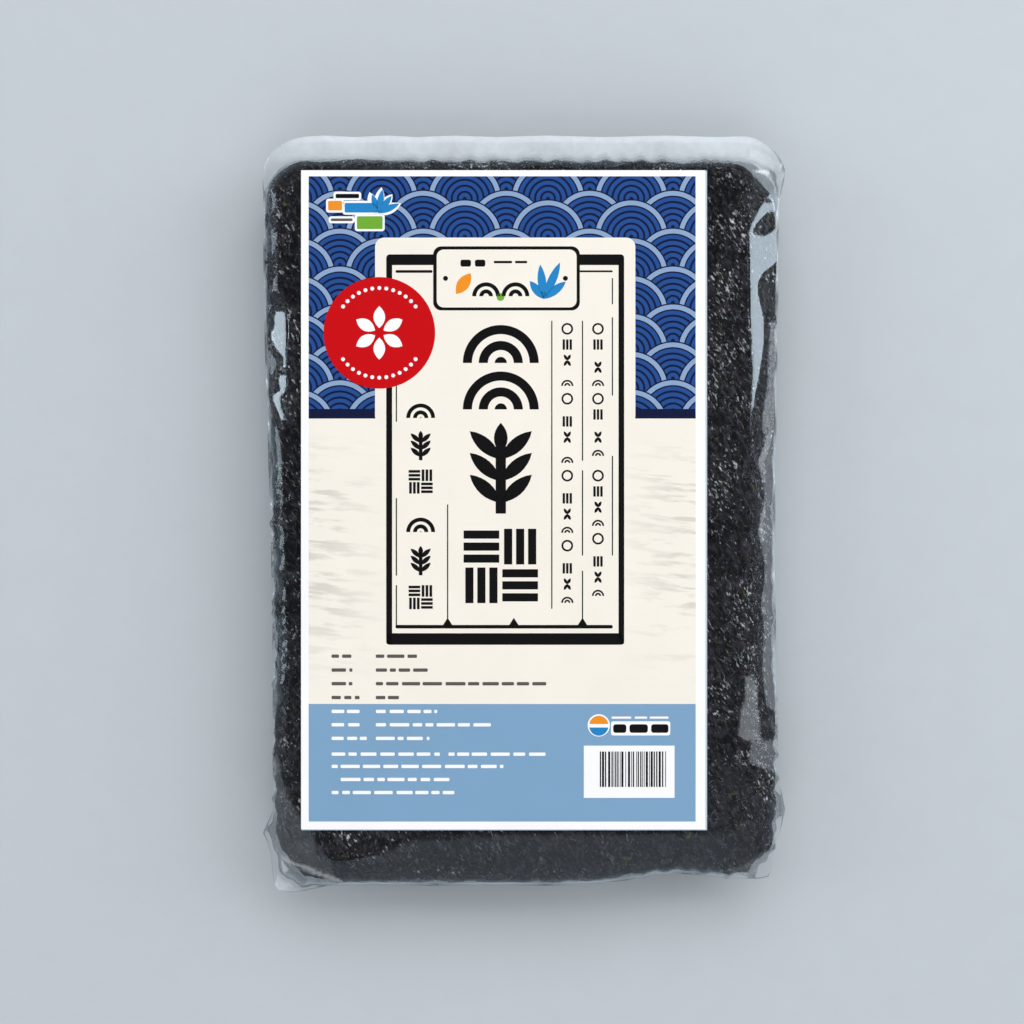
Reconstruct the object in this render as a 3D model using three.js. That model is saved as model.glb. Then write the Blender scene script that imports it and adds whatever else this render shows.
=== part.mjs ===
// A sealed clear-film bag that holds a stack of dried seaweed sheets, with a paper label on its face.
// The bag lies on its back. Millimetres: +Z is up, +X is the label's right and +Y the label's top.
// The origin is the middle of the bag's footprint, on the surface that it lies on.
import * as THREE from "three";

// The stack, which sets the size of everything else.
const SHEET_WIDTH = 190;
const SHEET_LENGTH = 270;
const SHEET_COUNT = 50;
const SHEET_PITCH = 0.6;
const STACK_HEIGHT = SHEET_COUNT * SHEET_PITCH;

// The film round the stack. It stands a little off the sheets on every side.
const FILM_GAP = 0.9;
const HALF_WIDTH = SHEET_WIDTH / 2 + FILM_GAP;
const HALF_LENGTH = SHEET_LENGTH / 2 + FILM_GAP;
const BAG_HEIGHT = STACK_HEIGHT + 2 * FILM_GAP;
const SEAM_HEIGHT = BAG_HEIGHT / 2;

// Plan radius of each corner: the sheets are worn back most at the lower right one.
const CORNER_RADII = { upperRight: 12, upperLeft: 14, lowerLeft: 14, lowerRight: 19 };

// How far the face rounds over towards each side, and how deep the rounding goes.
const FACE_ROUNDING = { right: 13, left: 7, top: 6, bottom: 18 };
const FACE_DROP = 9;
// The stretch of the right side, along y, where the film spans straight from the face to the wall, so that
// the wall's top stands higher by rise. It fades in and out over fade.
const RIGHT_SPAN = { from: 18, to: 122, fade: 16, rise: 3.4 };
const BACK_ROUNDING = 8;
const BACK_DROP = 7;
const WALL_BULGE = 1.4;

// The seam: a thin fin of two film layers along each side, wide across the top end.
const SEAM_WIDTH = { right: 0.6, left: 0.4, top: 9.4, bottom: 0.8 };
const SEAM_THICKNESS = 0.8;
const SEAM_TAPER = 0.3;
const SEAM_WAVE = 1.3;
const SEAM_WAVE_LENGTH = 31;

// Ears, where the seam is pinched out to a tip: where the tip is, measured from the middle of the stack,
// how far the ear spreads along the seam on each side of it, and how far the tip is lifted.
const EARS = {
  upperRight: { x: 99.9, y: 129.7, spread: 13, lift: 4 },
  upperLeft: { x: -98, y: 137.5, spread: 15, lift: -1 },
  lowerLeft: { x: -94.5, y: -144.5, spread: 15, lift: 3 },
  leftFoot: { x: -99.9, y: -122.8, spread: 8, lift: 1 },
  rightFoot: { x: 99.9, y: -113.7, spread: 14, lift: 2 },
  lowerRight: { x: 93.7, y: -139.5, spread: 9, lift: 1 },
};
const EAR_TENT_SHARE = 0.4;

// Pleats that run from the seam up on to the face. They are full at the seam, EDGE_PLEAT_SHARE of that
// at the top of the wall, and FACE_PLEAT_SHARE where the face begins, from where they fade out.
const PLEAT_DEPTH = 1.3;
const CORNER_PLEAT_DEPTH = 2.1;
const PLEAT_SPACING = 11.5;
const FINE_PLEAT_SPACING = 6.7;
const EDGE_PLEAT_SHARE = 0.75;
const FACE_PLEAT_SHARE = 0.25;
const PLEAT_FADE = 17;

// The face: a low dome, with loose crumples in the margin round the label.
const DOME = 0.7;
const CRUMPLE_DEPTH = 0.7;

// The stack has slid this far towards the bag's lower end.
const SLIDE = 2.4;

// The lower end wall: the sheets' ends have sagged out, apart from a hollow between two folds.
const SLUMP = { sag: 2.8, x: 60, halfWidth: 24, depth: 4.5 };

// The side walls: how far the left one stands out of line at its upper and lower end, with the stretch
// over which it changes, and how far the right one is drawn in at its waist.
const LEFT_LEAN = { upper: 2.2, lower: -1.4, from: -60, to: 105 };
const RIGHT_WAIST = { y: -10, halfLength: 75, depth: 1.4 };

// The label, its place measured from the middle of the face.
const LABEL_WIDTH = 151.5;
const LABEL_LENGTH = 247;
const LABEL_THICKNESS = 0.3;
const LABEL_GAP = 0.3;
const LABEL_CENTRE = { x: -7.8, y: 4.6 };
const LABEL_FLAT_MARGIN = 5;

// How finely the bag is cut into faces, and how far in the rings of its face and back lie.
const CORNER_STEPS = 9;
const SIDE_STEPS = 46;
const END_STEPS = 32;
const ROUNDING_STEPS = 4;
const WALL_STEPS = 3;
const FACE_RING_INSETS = [52, 34, 24, 17, 11, 5.5, 0];
const BACK_RING_INSETS = [0, 8, 22];
const LABEL_STEPS = { x: 18, y: 28 };

const FILM = new THREE.MeshStandardMaterial({
  name: "film_bag", color: 0x2b2b2e, roughness: 0.18, metalness: 0,
});
const PAPER = new THREE.MeshStandardMaterial({
  name: "label_paper", color: 0xf4f2ee, roughness: 0.6, metalness: 0,
});

const { lerp, smoothstep, degToRad } = THREE.MathUtils;

// A folded line that runs between -1 and 1, with one fold up and one down for each whole step of v.
const fold = (v) => 1 - 2 * Math.abs(2 * (v - Math.floor(v)) - 1);

// A value for each of the four sides, blended round the corners by the outward direction.
function bySide(values, nx, ny) {
  const across = nx > 0 ? values.right : values.left;
  const along = ny > 0 ? values.top : values.bottom;
  return nx * nx * across + ny * ny * along;
}

// Points round the bag's wall, anticlockwise from above, with outward directions and the way run so far.
function outline() {
  const points = [];
  const corners = [
    { r: CORNER_RADII.lowerRight, sx: 1, sy: -1, from: -90, straight: SIDE_STEPS },
    { r: CORNER_RADII.upperRight, sx: 1, sy: 1, from: 0, straight: END_STEPS },
    { r: CORNER_RADII.upperLeft, sx: -1, sy: 1, from: 90, straight: SIDE_STEPS },
    { r: CORNER_RADII.lowerLeft, sx: -1, sy: -1, from: 180, straight: END_STEPS },
  ];
  corners.forEach((corner, i) => {
    const next = corners[(i + 1) % corners.length];
    for (let k = 0; k <= CORNER_STEPS; k++) {
      const angle = degToRad(corner.from + (90 * k) / CORNER_STEPS);
      points.push(arcPoint(corner, angle));
    }
    const turned = degToRad(corner.from + 90);
    const start = arcPoint(corner, turned);
    const end = arcPoint(next, turned);
    for (let k = 1; k < corner.straight; k++) {
      const at = k / corner.straight;
      points.push({
        x: lerp(start.x, end.x, at),
        y: lerp(start.y, end.y, at),
        nx: start.nx,
        ny: start.ny,
      });
    }
  });
  let run = 0;
  points.forEach((p, i) => {
    const before = points[Math.max(i - 1, 0)];
    run += Math.hypot(p.x - before.x, p.y - before.y);
    p.run = run;
  });
  return withEars(points.map((p) => slumped(drawn({ ...p, around: (2 * Math.PI * p.run) / run }))));
}

function arcPoint({ r, sx, sy }, angle) {
  const nx = Math.cos(angle);
  const ny = Math.sin(angle);
  return { x: sx * (HALF_WIDTH - r) + r * nx, y: sy * (HALF_LENGTH - r) + r * ny - SLIDE, nx, ny };
}

// Leans the left side wall, and draws the right one in at its waist.
function drawn(p) {
  const lean = lerp(LEFT_LEAN.lower, LEFT_LEAN.upper, smoothstep(p.y, LEFT_LEAN.from, LEFT_LEAN.to));
  const waist = RIGHT_WAIST.depth * Math.exp(-(((p.y - RIGHT_WAIST.y) / RIGHT_WAIST.halfLength) ** 2));
  return { ...p, x: p.x - (p.nx < 0 ? -p.nx * lean : p.nx * waist) };
}

// Lets the lower end wall sag out, and pushes it in at its hollow.
function slumped(p) {
  const facesDown = Math.max(0, -p.ny);
  const near = Math.exp(-(((p.x - SLUMP.x) / SLUMP.halfWidth) ** 2));
  return { ...p, y: p.y + (SLUMP.depth * near - SLUMP.sag) * facesDown };
}

// Gives each point of the outline the pull of the ears: the way from the seam's edge to a near ear's tip,
// fading along the seam on both sides of the tip.
function withEars(points) {
  const edges = points.map((p) => seamEdge(p));
  const pulls = points.map(() => new THREE.Vector3());
  Object.values(EARS).forEach(({ x, y, spread, lift }) => {
    const tip = new THREE.Vector3(x, y, 0);
    const root = edges.reduce((best, edge) => (edge.distanceTo(tip) < best.distanceTo(tip) ? edge : best));
    const pull = tip.sub(root).setZ(lift);
    edges.forEach((edge, i) => {
      const share = Math.max(0, 1 - edge.distanceTo(root) / spread);
      pulls[i].addScaledVector(pull, share);
    });
  });
  return points.map((p, i) => ({ ...p, pull: pulls[i] }));
}

// The seam's outer edge, before the ears pull it.
function seamEdge({ x, y, nx, ny }) {
  const out = WALL_BULGE + bySide(SEAM_WIDTH, nx, ny);
  return new THREE.Vector3(x + out * nx, y + out * ny, 0);
}

// How far the pleats push the wall in or out at a point of the outline. Slow waves round the bag make
// them drift and swell, so that no two are alike.
function pleat(p) {
  const cornerShare = 2 * Math.abs(p.nx * p.ny);
  const depth = lerp(PLEAT_DEPTH, CORNER_PLEAT_DEPTH, cornerShare);
  const drift = 0.8 * Math.sin(5 * p.around) + 0.5 * Math.sin(13 * p.around + 1);
  const coarse = fold(p.run / PLEAT_SPACING + drift);
  const fine = fold(p.run / FINE_PLEAT_SPACING - 1.3 * drift);
  const swell = 0.55 + 0.45 * Math.sin(3 * p.around + 0.6);
  return depth * swell * (0.65 * coarse + 0.35 * fine);
}

// How deep the face's edge drops to the wall's top at a point of the outline.
function faceDrop({ nx, y }) {
  const { from, to, fade, rise } = RIGHT_SPAN;
  const along = smoothstep(y, from, from + fade) * (1 - smoothstep(y, to - fade, to));
  return FACE_DROP - rise * along * Math.max(0, nx);
}

// Height of the face over the stack: a low dome, crumpled where no label holds it flat.
function faceHeight(x, y) {
  const dome = DOME * (1 - (x / HALF_WIDTH) ** 2) * (1 - (y / HALF_LENGTH) ** 2);
  return BAG_HEIGHT - DOME + dome + CRUMPLE_DEPTH * crumple(x, y) * looseShare(x, y);
}

// Two crossing sets of bent folds, from -1 to 0.
function crumple(x, y) {
  const a = fold(x / 17 + y / 41 + 0.3 * Math.sin(y / 13));
  const b = fold(y / 19 - x / 37 + 0.35 * Math.sin(x / 11 + 2));
  return 0.5 * a * b - 0.5;
}

// 0 under the label and 1 well outside it.
function looseShare(x, y) {
  const outX = Math.abs(x - LABEL_CENTRE.x) - LABEL_WIDTH / 2;
  const outY = Math.abs(y - LABEL_CENTRE.y) - LABEL_LENGTH / 2;
  return smoothstep(Math.max(outX, outY), 0, LABEL_FLAT_MARGIN);
}

// A ring of the bag's skin. inset is the way in from the wall, out the way out of it, and pulled the
// share of the ears' pull that the ring follows.
function ring(points, shape) {
  return points.map((p) => {
    const { inset = 0, out = 0, pulled = 0, z, pleats = 0 } = shape(p);
    const push = out + pleats * pleat(p);
    const x = (p.x * (HALF_WIDTH - inset)) / HALF_WIDTH + p.nx * push + p.pull.x * pulled;
    const y = (p.y * (HALF_LENGTH - inset)) / HALF_LENGTH + p.ny * push + p.pull.y * pulled;
    return new THREE.Vector3(x, y, typeof z === "function" ? z(x, y) : z);
  });
}

// The face, from its middle out to where it starts to round over.
function faceRings(points) {
  return FACE_RING_INSETS.map((past) =>
    ring(points, (p) => ({
      inset: bySide(FACE_ROUNDING, p.nx, p.ny) + past,
      z: faceHeight,
      pleats: FACE_PLEAT_SHARE * (1 - smoothstep(past, 0, PLEAT_FADE)),
    })),
  );
}

// The face's rounded edge, down to the top of the wall.
function faceEdgeRings(points) {
  const rings = [];
  for (let k = 1; k <= ROUNDING_STEPS; k++) {
    const share = k / ROUNDING_STEPS;
    const angle = (Math.PI / 2) * share;
    rings.push(
      ring(points, (p) => ({
        inset: bySide(FACE_ROUNDING, p.nx, p.ny) * (1 - Math.sin(angle)),
        z: (x, y) => faceHeight(x, y) - faceDrop(p) * (1 - Math.cos(angle)),
        pleats: lerp(FACE_PLEAT_SHARE, EDGE_PLEAT_SHARE, share),
      })),
    );
  }
  return rings;
}

// The wall between the edge of the face or the back and the seam, without its first and last ring.
function wallRings(points, edgeHeight, seamSide) {
  const seam = SEAM_HEIGHT + (seamSide * SEAM_THICKNESS) / 2;
  const rings = [];
  for (let k = 1; k < WALL_STEPS; k++) {
    const share = k / WALL_STEPS;
    rings.push(
      ring(points, (p) => ({
        out: WALL_BULGE * share,
        pulled: EAR_TENT_SHARE * share * share,
        z: lerp(edgeHeight(p), seam, share),
        pleats: lerp(EDGE_PLEAT_SHARE, 1, share),
      })),
    );
  }
  return rings;
}

// The seam's fin: out along its upper layer and back along its lower one.
function seamRings(points) {
  const steps = [
    { share: 0, side: 1 }, { share: 0.5, side: 1 }, { share: 1, side: 1 },
    { share: 1, side: -1 }, { share: 0.5, side: -1 }, { share: 0, side: -1 },
  ];
  return steps.map(({ share, side }) =>
    ring(points, (p) => {
      const wave = SEAM_WAVE * fold(p.run / SEAM_WAVE_LENGTH + 0.4 * Math.sin(4 * p.around));
      const taper = 1 - SEAM_TAPER * share;
      return {
        out: WALL_BULGE + share * bySide(SEAM_WIDTH, p.nx, p.ny),
        pulled: lerp(EAR_TENT_SHARE, 1, share),
        z: SEAM_HEIGHT + share * (wave + p.pull.z) + (side * taper * SEAM_THICKNESS) / 2,
        pleats: 1 - share,
      };
    }),
  );
}

// The back's rounded edge, then the flat back that the bag lies on.
function backRings(points) {
  const rings = [];
  for (let k = ROUNDING_STEPS; k >= 1; k--) {
    const share = k / ROUNDING_STEPS;
    const angle = (Math.PI / 2) * share;
    rings.push(
      ring(points, () => ({
        inset: BACK_ROUNDING * (1 - Math.sin(angle)),
        z: BACK_DROP * (1 - Math.cos(angle)),
        pleats: lerp(FACE_PLEAT_SHARE, EDGE_PLEAT_SHARE, share),
      })),
    );
  }
  BACK_RING_INSETS.forEach((past) =>
    rings.push(
      ring(points, () => ({
        inset: BACK_ROUNDING + past,
        z: 0,
        pleats: FACE_PLEAT_SHARE * (1 - smoothstep(past, 0, PLEAT_FADE)),
      })),
    ),
  );
  return rings;
}

// Joins rings of equal length into one closed skin, with a fan of faces over each end.
function skin(rings) {
  const count = rings[0].length;
  const positions = rings.flat();
  const index = [];
  for (let r = 0; r + 1 < rings.length; r++) {
    for (let i = 0; i < count; i++) {
      const a = r * count + i;
      const b = r * count + ((i + 1) % count);
      index.push(a, a + count, b + count, a, b + count, b);
    }
  }
  const middle = (points) =>
    points.reduce((sum, p) => sum.add(p), new THREE.Vector3()).divideScalar(count);
  const top = positions.push(middle(rings[0])) - 1;
  const bottom = positions.push(middle(rings[rings.length - 1])) - 1;
  const last = (rings.length - 1) * count;
  for (let i = 0; i < count; i++) {
    const j = (i + 1) % count;
    index.push(top, i, j, bottom, last + j, last + i);
  }
  const geometry = new THREE.BufferGeometry().setFromPoints(positions);
  geometry.setIndex(index);
  geometry.computeVertexNormals();
  return geometry;
}

function bag() {
  const points = outline();
  const rings = [
    ...faceRings(points),
    ...faceEdgeRings(points),
    ...wallRings(points, (p) => BAG_HEIGHT - faceDrop(p), 1),
    ...seamRings(points),
    ...wallRings(points, () => BACK_DROP, -1).reverse(),
    ...backRings(points),
  ];
  const mesh = new THREE.Mesh(skin(rings), FILM);
  mesh.name = "film_bag";
  return mesh;
}

// The label: a sheet of paper that follows the face, a hair above it.
function label() {
  const { x: across, y: along } = LABEL_STEPS;
  const geometry = new THREE.BoxGeometry(LABEL_WIDTH, LABEL_LENGTH, LABEL_THICKNESS, across, along, 1);
  const at = geometry.getAttribute("position");
  for (let i = 0; i < at.count; i++) {
    const face = faceHeight(at.getX(i) + LABEL_CENTRE.x, at.getY(i) + LABEL_CENTRE.y);
    at.setZ(i, at.getZ(i) + face + LABEL_GAP + LABEL_THICKNESS / 2);
  }
  geometry.computeVertexNormals();
  const mesh = new THREE.Mesh(geometry, PAPER);
  mesh.name = "label";
  mesh.position.set(LABEL_CENTRE.x, LABEL_CENTRE.y, 0);
  return mesh;
}

// The whole pack, moved so that the origin is under the middle of its box.
function pack() {
  const group = new THREE.Group();
  group.add(bag(), label());
  const box = new THREE.Box3().setFromObject(group, true);
  const middle = box.getCenter(new THREE.Vector3());
  const origin = new THREE.Vector3(middle.x, middle.y, box.min.z);
  group.children.forEach((mesh) => mesh.position.sub(origin));
  return group;
}

export default pack();
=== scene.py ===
"""A sealed clear-film pack of dried seaweed sheets with a printed paper label, dressed for a render.

The pack lies on its back: +Z is up out of the labelled face and +Y is the label's top. Shapes are worked
out in millimetres and become metres when a mesh is made.
"""

import logging
import math
from collections.abc import Callable
from dataclasses import dataclass, field
from enum import Enum

import bmesh
import bpy
import numpy as np
from mathutils import Matrix, Vector
from mathutils.bvhtree import BVHTree
from mathutils.geometry import delaunay_2d_cdt
from mathutils.noise import noise as smooth_noise


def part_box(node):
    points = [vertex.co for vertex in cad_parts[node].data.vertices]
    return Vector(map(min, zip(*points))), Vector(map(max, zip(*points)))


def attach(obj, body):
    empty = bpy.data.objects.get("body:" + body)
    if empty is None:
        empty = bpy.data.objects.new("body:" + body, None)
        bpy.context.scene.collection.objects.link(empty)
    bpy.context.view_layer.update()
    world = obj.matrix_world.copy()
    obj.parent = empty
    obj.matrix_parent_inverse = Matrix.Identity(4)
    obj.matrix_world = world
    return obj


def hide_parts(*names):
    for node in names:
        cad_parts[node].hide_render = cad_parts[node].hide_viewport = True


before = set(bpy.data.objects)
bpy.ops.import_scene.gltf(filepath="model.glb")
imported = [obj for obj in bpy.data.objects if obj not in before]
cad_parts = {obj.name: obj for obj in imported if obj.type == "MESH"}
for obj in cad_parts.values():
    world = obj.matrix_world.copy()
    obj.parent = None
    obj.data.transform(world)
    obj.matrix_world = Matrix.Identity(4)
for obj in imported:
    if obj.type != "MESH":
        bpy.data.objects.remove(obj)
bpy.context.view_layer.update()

MM = 0.001
LABEL_CENTRE = (-7.8, 4.6)
LABEL_HALF = (75.75, 123.5)
FILM_IOR = 1.5

# Parts of the face, by their corners, where loose film lies over the sheets: the sheets' painted glints are
# dimmed there and the film is made milky.
FOOT_SPAN = (
    (66.0, -100.0), (79.0, -96.0), (89.0, -108.0), (100.0, -112.0), (100.0, -130.0), (88.0, -146.0),
    (-70.0, -146.0), (-62.0, -131.9), (-51.2, -128.1), (-48.6, -124.3), (-35.4, -121.0), (66.0, -119.8),
)
SIDE_SPAN = (
    (93.4, 72.0), (92.4, 60.0), (92.0, 48.0), (89.8, 35.3), (90.8, 26.9), (88.8, 21.1), (87.2, 19.2),
    (88.8, 15.4), (90.8, 8.5), (90.6, 3.8), (88.8, -3.1), (88.1, -6.9), (88.9, -10.8), (90.8, -18.4),
    (90.8, -26.1), (89.7, -31.9), (89.3, -36.5), (90.6, -41.5), (90.2, -51.1), (89.7, -60.7), (90.6, -66.5),
    (91.4, -73.0), (102.0, -80.0), (102.0, 72.0),
)
CORNER_SPAN = (
    (-102.0, -70.0), (-94.0, -84.0), (-90.0, -104.0), (-85.0, -113.0), (-79.5, -119.0), (-77.0, -128.5),
    (-72.0, -132.5), (-70.0, -140.0), (-84.0, -135.5), (-92.0, -130.0), (-97.0, -122.0),
)
Socket = bpy.types.NodeSocket
Number = np.ndarray | float
Colour = tuple[float, float, float]
Test = Callable[[np.ndarray, np.ndarray], np.ndarray]
log = logging.getLogger("pack")


def frame_shift() -> tuple[float, float, float]:
    """The way from this file's own middle of the pack to the solids' origin, in millimetres."""
    low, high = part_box("label")
    return tuple((low[i] + high[i]) / 2 / MM - LABEL_CENTRE[i] for i in (0, 1)) + (0.0,)


SHIFT = frame_shift()


# ---------------------------------------------------------------- small mathematics


def smoothstep(v: Number, low: float, high: float) -> np.ndarray:
    """A smooth rise from 0 at low to 1 at high."""
    t = np.clip((np.asarray(v, dtype=float) - low) / (high - low), 0, 1)
    return t * t * (3 - 2 * t)


def fold(v: np.ndarray) -> np.ndarray:
    """A folded line between -1 and 1, with one fold up and one down for each whole step of v."""
    return 1 - 2 * np.abs(2 * (v - np.floor(v)) - 1)


def linear_part(byte: int) -> float:
    """The linear share of light for one part of a screen colour, 0 to 255."""
    part = byte / 255
    return part / 12.92 if part <= 0.04045 else ((part + 0.055) / 1.055) ** 2.4


def srgb(red: int, green: int, blue: int) -> Colour:
    """Turns a colour of 0 to 255 as seen on a screen into the linear one that shaders use."""
    return linear_part(red), linear_part(green), linear_part(blue)


def noise_at(points: np.ndarray, wavelength: float, seed: float = 0.0) -> np.ndarray:
    """Smooth noise, about -1 to 1, at points in millimetres.

    Args:
        points: An array whose last axis holds x, y and z.
        wavelength: The size of the noise's lumps in millimetres.
        seed: An offset that gives another noise of the same size.

    Returns:
        An array of the points' shape without its last axis.
    """
    flat = points.reshape(-1, 3) / wavelength + seed
    values = np.fromiter((smooth_noise(Vector(p)) for p in flat), float, len(flat))
    return values.reshape(points.shape[:-1])


def past_label(x: np.ndarray, y: np.ndarray) -> np.ndarray:
    """How far places are past the label's nearest side, in millimetres: negative inside."""
    return np.maximum(abs(x - LABEL_CENTRE[0]) - LABEL_HALF[0], abs(y - LABEL_CENTRE[1]) - LABEL_HALF[1])


class CreaseField:
    """A crumpled sheet: random heights at scattered points, joined by flat triangles with sharp folds."""

    def __init__(self, width: float, depth: float, step_u: float, step_v: float, seed: int) -> None:
        """Scatters the points.

        Args:
            width: Length of the field along u, in millimetres. The field repeats after it.
            depth: Length of the field along v.
            step_u: Usual distance between points along u.
            step_v: Usual distance between points along v.
            seed: Seed of the random draw.
        """
        rng = np.random.default_rng(seed)
        columns = max(4, round(width / step_u))
        rows = max(3, round(depth / step_v)) + 3
        u = (np.arange(columns)[:, None] + rng.uniform(0, 0.95, (columns, rows))) * width / columns
        v = (np.arange(rows)[None, :] - 1.5 + rng.uniform(0, 0.95, (columns, rows))) * step_v
        z = rng.uniform(-1, 1, (columns, rows))
        points = np.stack([u, v, z], axis=-1).reshape(-1, 3)
        around = [points + np.array([turn * width, 0, 0]) for turn in (-1, 0, 1)]
        every = np.concatenate(around)
        near = every[(every[:, 0] > -4 * step_u) & (every[:, 0] < width + 4 * step_u)]
        flat, _, faces, source, _, _ = delaunay_2d_cdt([Vector(p[:2]) for p in near], [], [], 0, 1e-5)
        corners = [(p.x, p.y, near[source[i][0]][2]) for i, p in enumerate(flat)]
        self.width = width
        self.tree = BVHTree.FromPolygons(corners, faces)

    def at(self, u: np.ndarray, v: np.ndarray) -> np.ndarray:
        """Looks up heights.

        Args:
            u: Places along the field's width.
            v: Places along its depth.

        Returns:
            Heights between -1 and 1.
        """
        down = Vector((0, 0, -1))
        spots = zip(np.mod(u, self.width).ravel(), v.ravel())
        hits = (self.tree.ray_cast(Vector((a, b, 5.0)), down)[0] for a, b in spots)
        return np.array([hit.z if hit else 0.0 for hit in hits]).reshape(u.shape)


# ---------------------------------------------------------------- the pack's form


@dataclass(frozen=True)
class Sides:
    """A value for each of the four sides."""

    right: float
    top: float
    left: float
    bottom: float

    def at(self, nx: np.ndarray, ny: np.ndarray) -> np.ndarray:
        """The value in an outward direction, blended round the corners.

        Args:
            nx: The direction's part along x.
            ny: Its part along y.

        Returns:
            The blended values.
        """
        across = np.where(nx > 0, self.right, self.left)
        along = np.where(ny > 0, self.top, self.bottom)
        return nx * nx * across + ny * ny * along


@dataclass(frozen=True)
class Ear:
    """A place where the seam is pinched out to a tip, seen from above."""

    x: float
    y: float
    spread: float
    lift: float


@dataclass(frozen=True)
class Flat:
    """A flat stretch of the face's edge, where the film spans from the face to the wall.

    It starts at x, y on the face, goes down by tilt degrees towards heading, and closes past low and high,
    its two ends along y.
    """

    x: float
    y: float
    heading: float
    tilt: float
    low: float
    high: float
    end_slope: float = 0.35

    def height(self, x: np.ndarray, y: np.ndarray, face: float) -> np.ndarray:
        """Height of the flat's plane.

        Args:
            x: Places along x.
            y: Places along y.
            face: The face's height where the flat starts.

        Returns:
            The plane's heights, which rise past the flat's ends.
        """
        turn = math.radians(self.heading)
        way = (x - self.x) * math.cos(turn) + (y - self.y) * math.sin(turn)
        past = np.maximum(0, np.maximum(self.low - y, y - self.high))
        return face - math.tan(math.radians(self.tilt)) * way + self.end_slope * past


@dataclass(frozen=True)
class Patch:
    """A part of the face, by its corners, where the film is stretched clear of the sheets or lies on them."""

    free: bool
    corners: tuple[tuple[float, float], ...]

    def inside(self, x: np.ndarray, y: np.ndarray) -> np.ndarray:
        """The way in from the patch's border.

        Args:
            x: Places along x.
            y: Places along y.

        Returns:
            Distances in millimetres, negative outside.
        """
        loop = np.array(self.corners)
        nearest = np.full(x.shape, np.inf)
        within = np.zeros(x.shape, dtype=bool)
        for (ax, ay), (bx, by) in zip(loop, np.roll(loop, -1, axis=0)):
            dx, dy = bx - ax, by - ay
            along = np.clip(((x - ax) * dx + (y - ay) * dy) / (dx * dx + dy * dy), 0, 1)
            nearest = np.minimum(nearest, np.hypot(x - ax - along * dx, y - ay - along * dy))
            crosses = (ay > y) != (by > y)
            slope = dx / (dy if dy else 1e-9)
            within ^= crosses & (x < ax + (y - ay) * slope)
        return np.where(within, nearest, -nearest)


@dataclass(frozen=True)
class MilkAndLight:
    """A part of the bag, by its corners from above, made milky white: folded film, and in places painted
    highlights on creases and painted light over film that lies in shade.
    """

    strength: float
    corners: tuple[tuple[float, float], ...]


@dataclass
class Outline:
    """Evenly spaced points round the bag's wall, anticlockwise from above."""

    x: np.ndarray
    y: np.ndarray
    nx: np.ndarray
    ny: np.ndarray
    run: np.ndarray
    around: np.ndarray
    pull: np.ndarray


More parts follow.
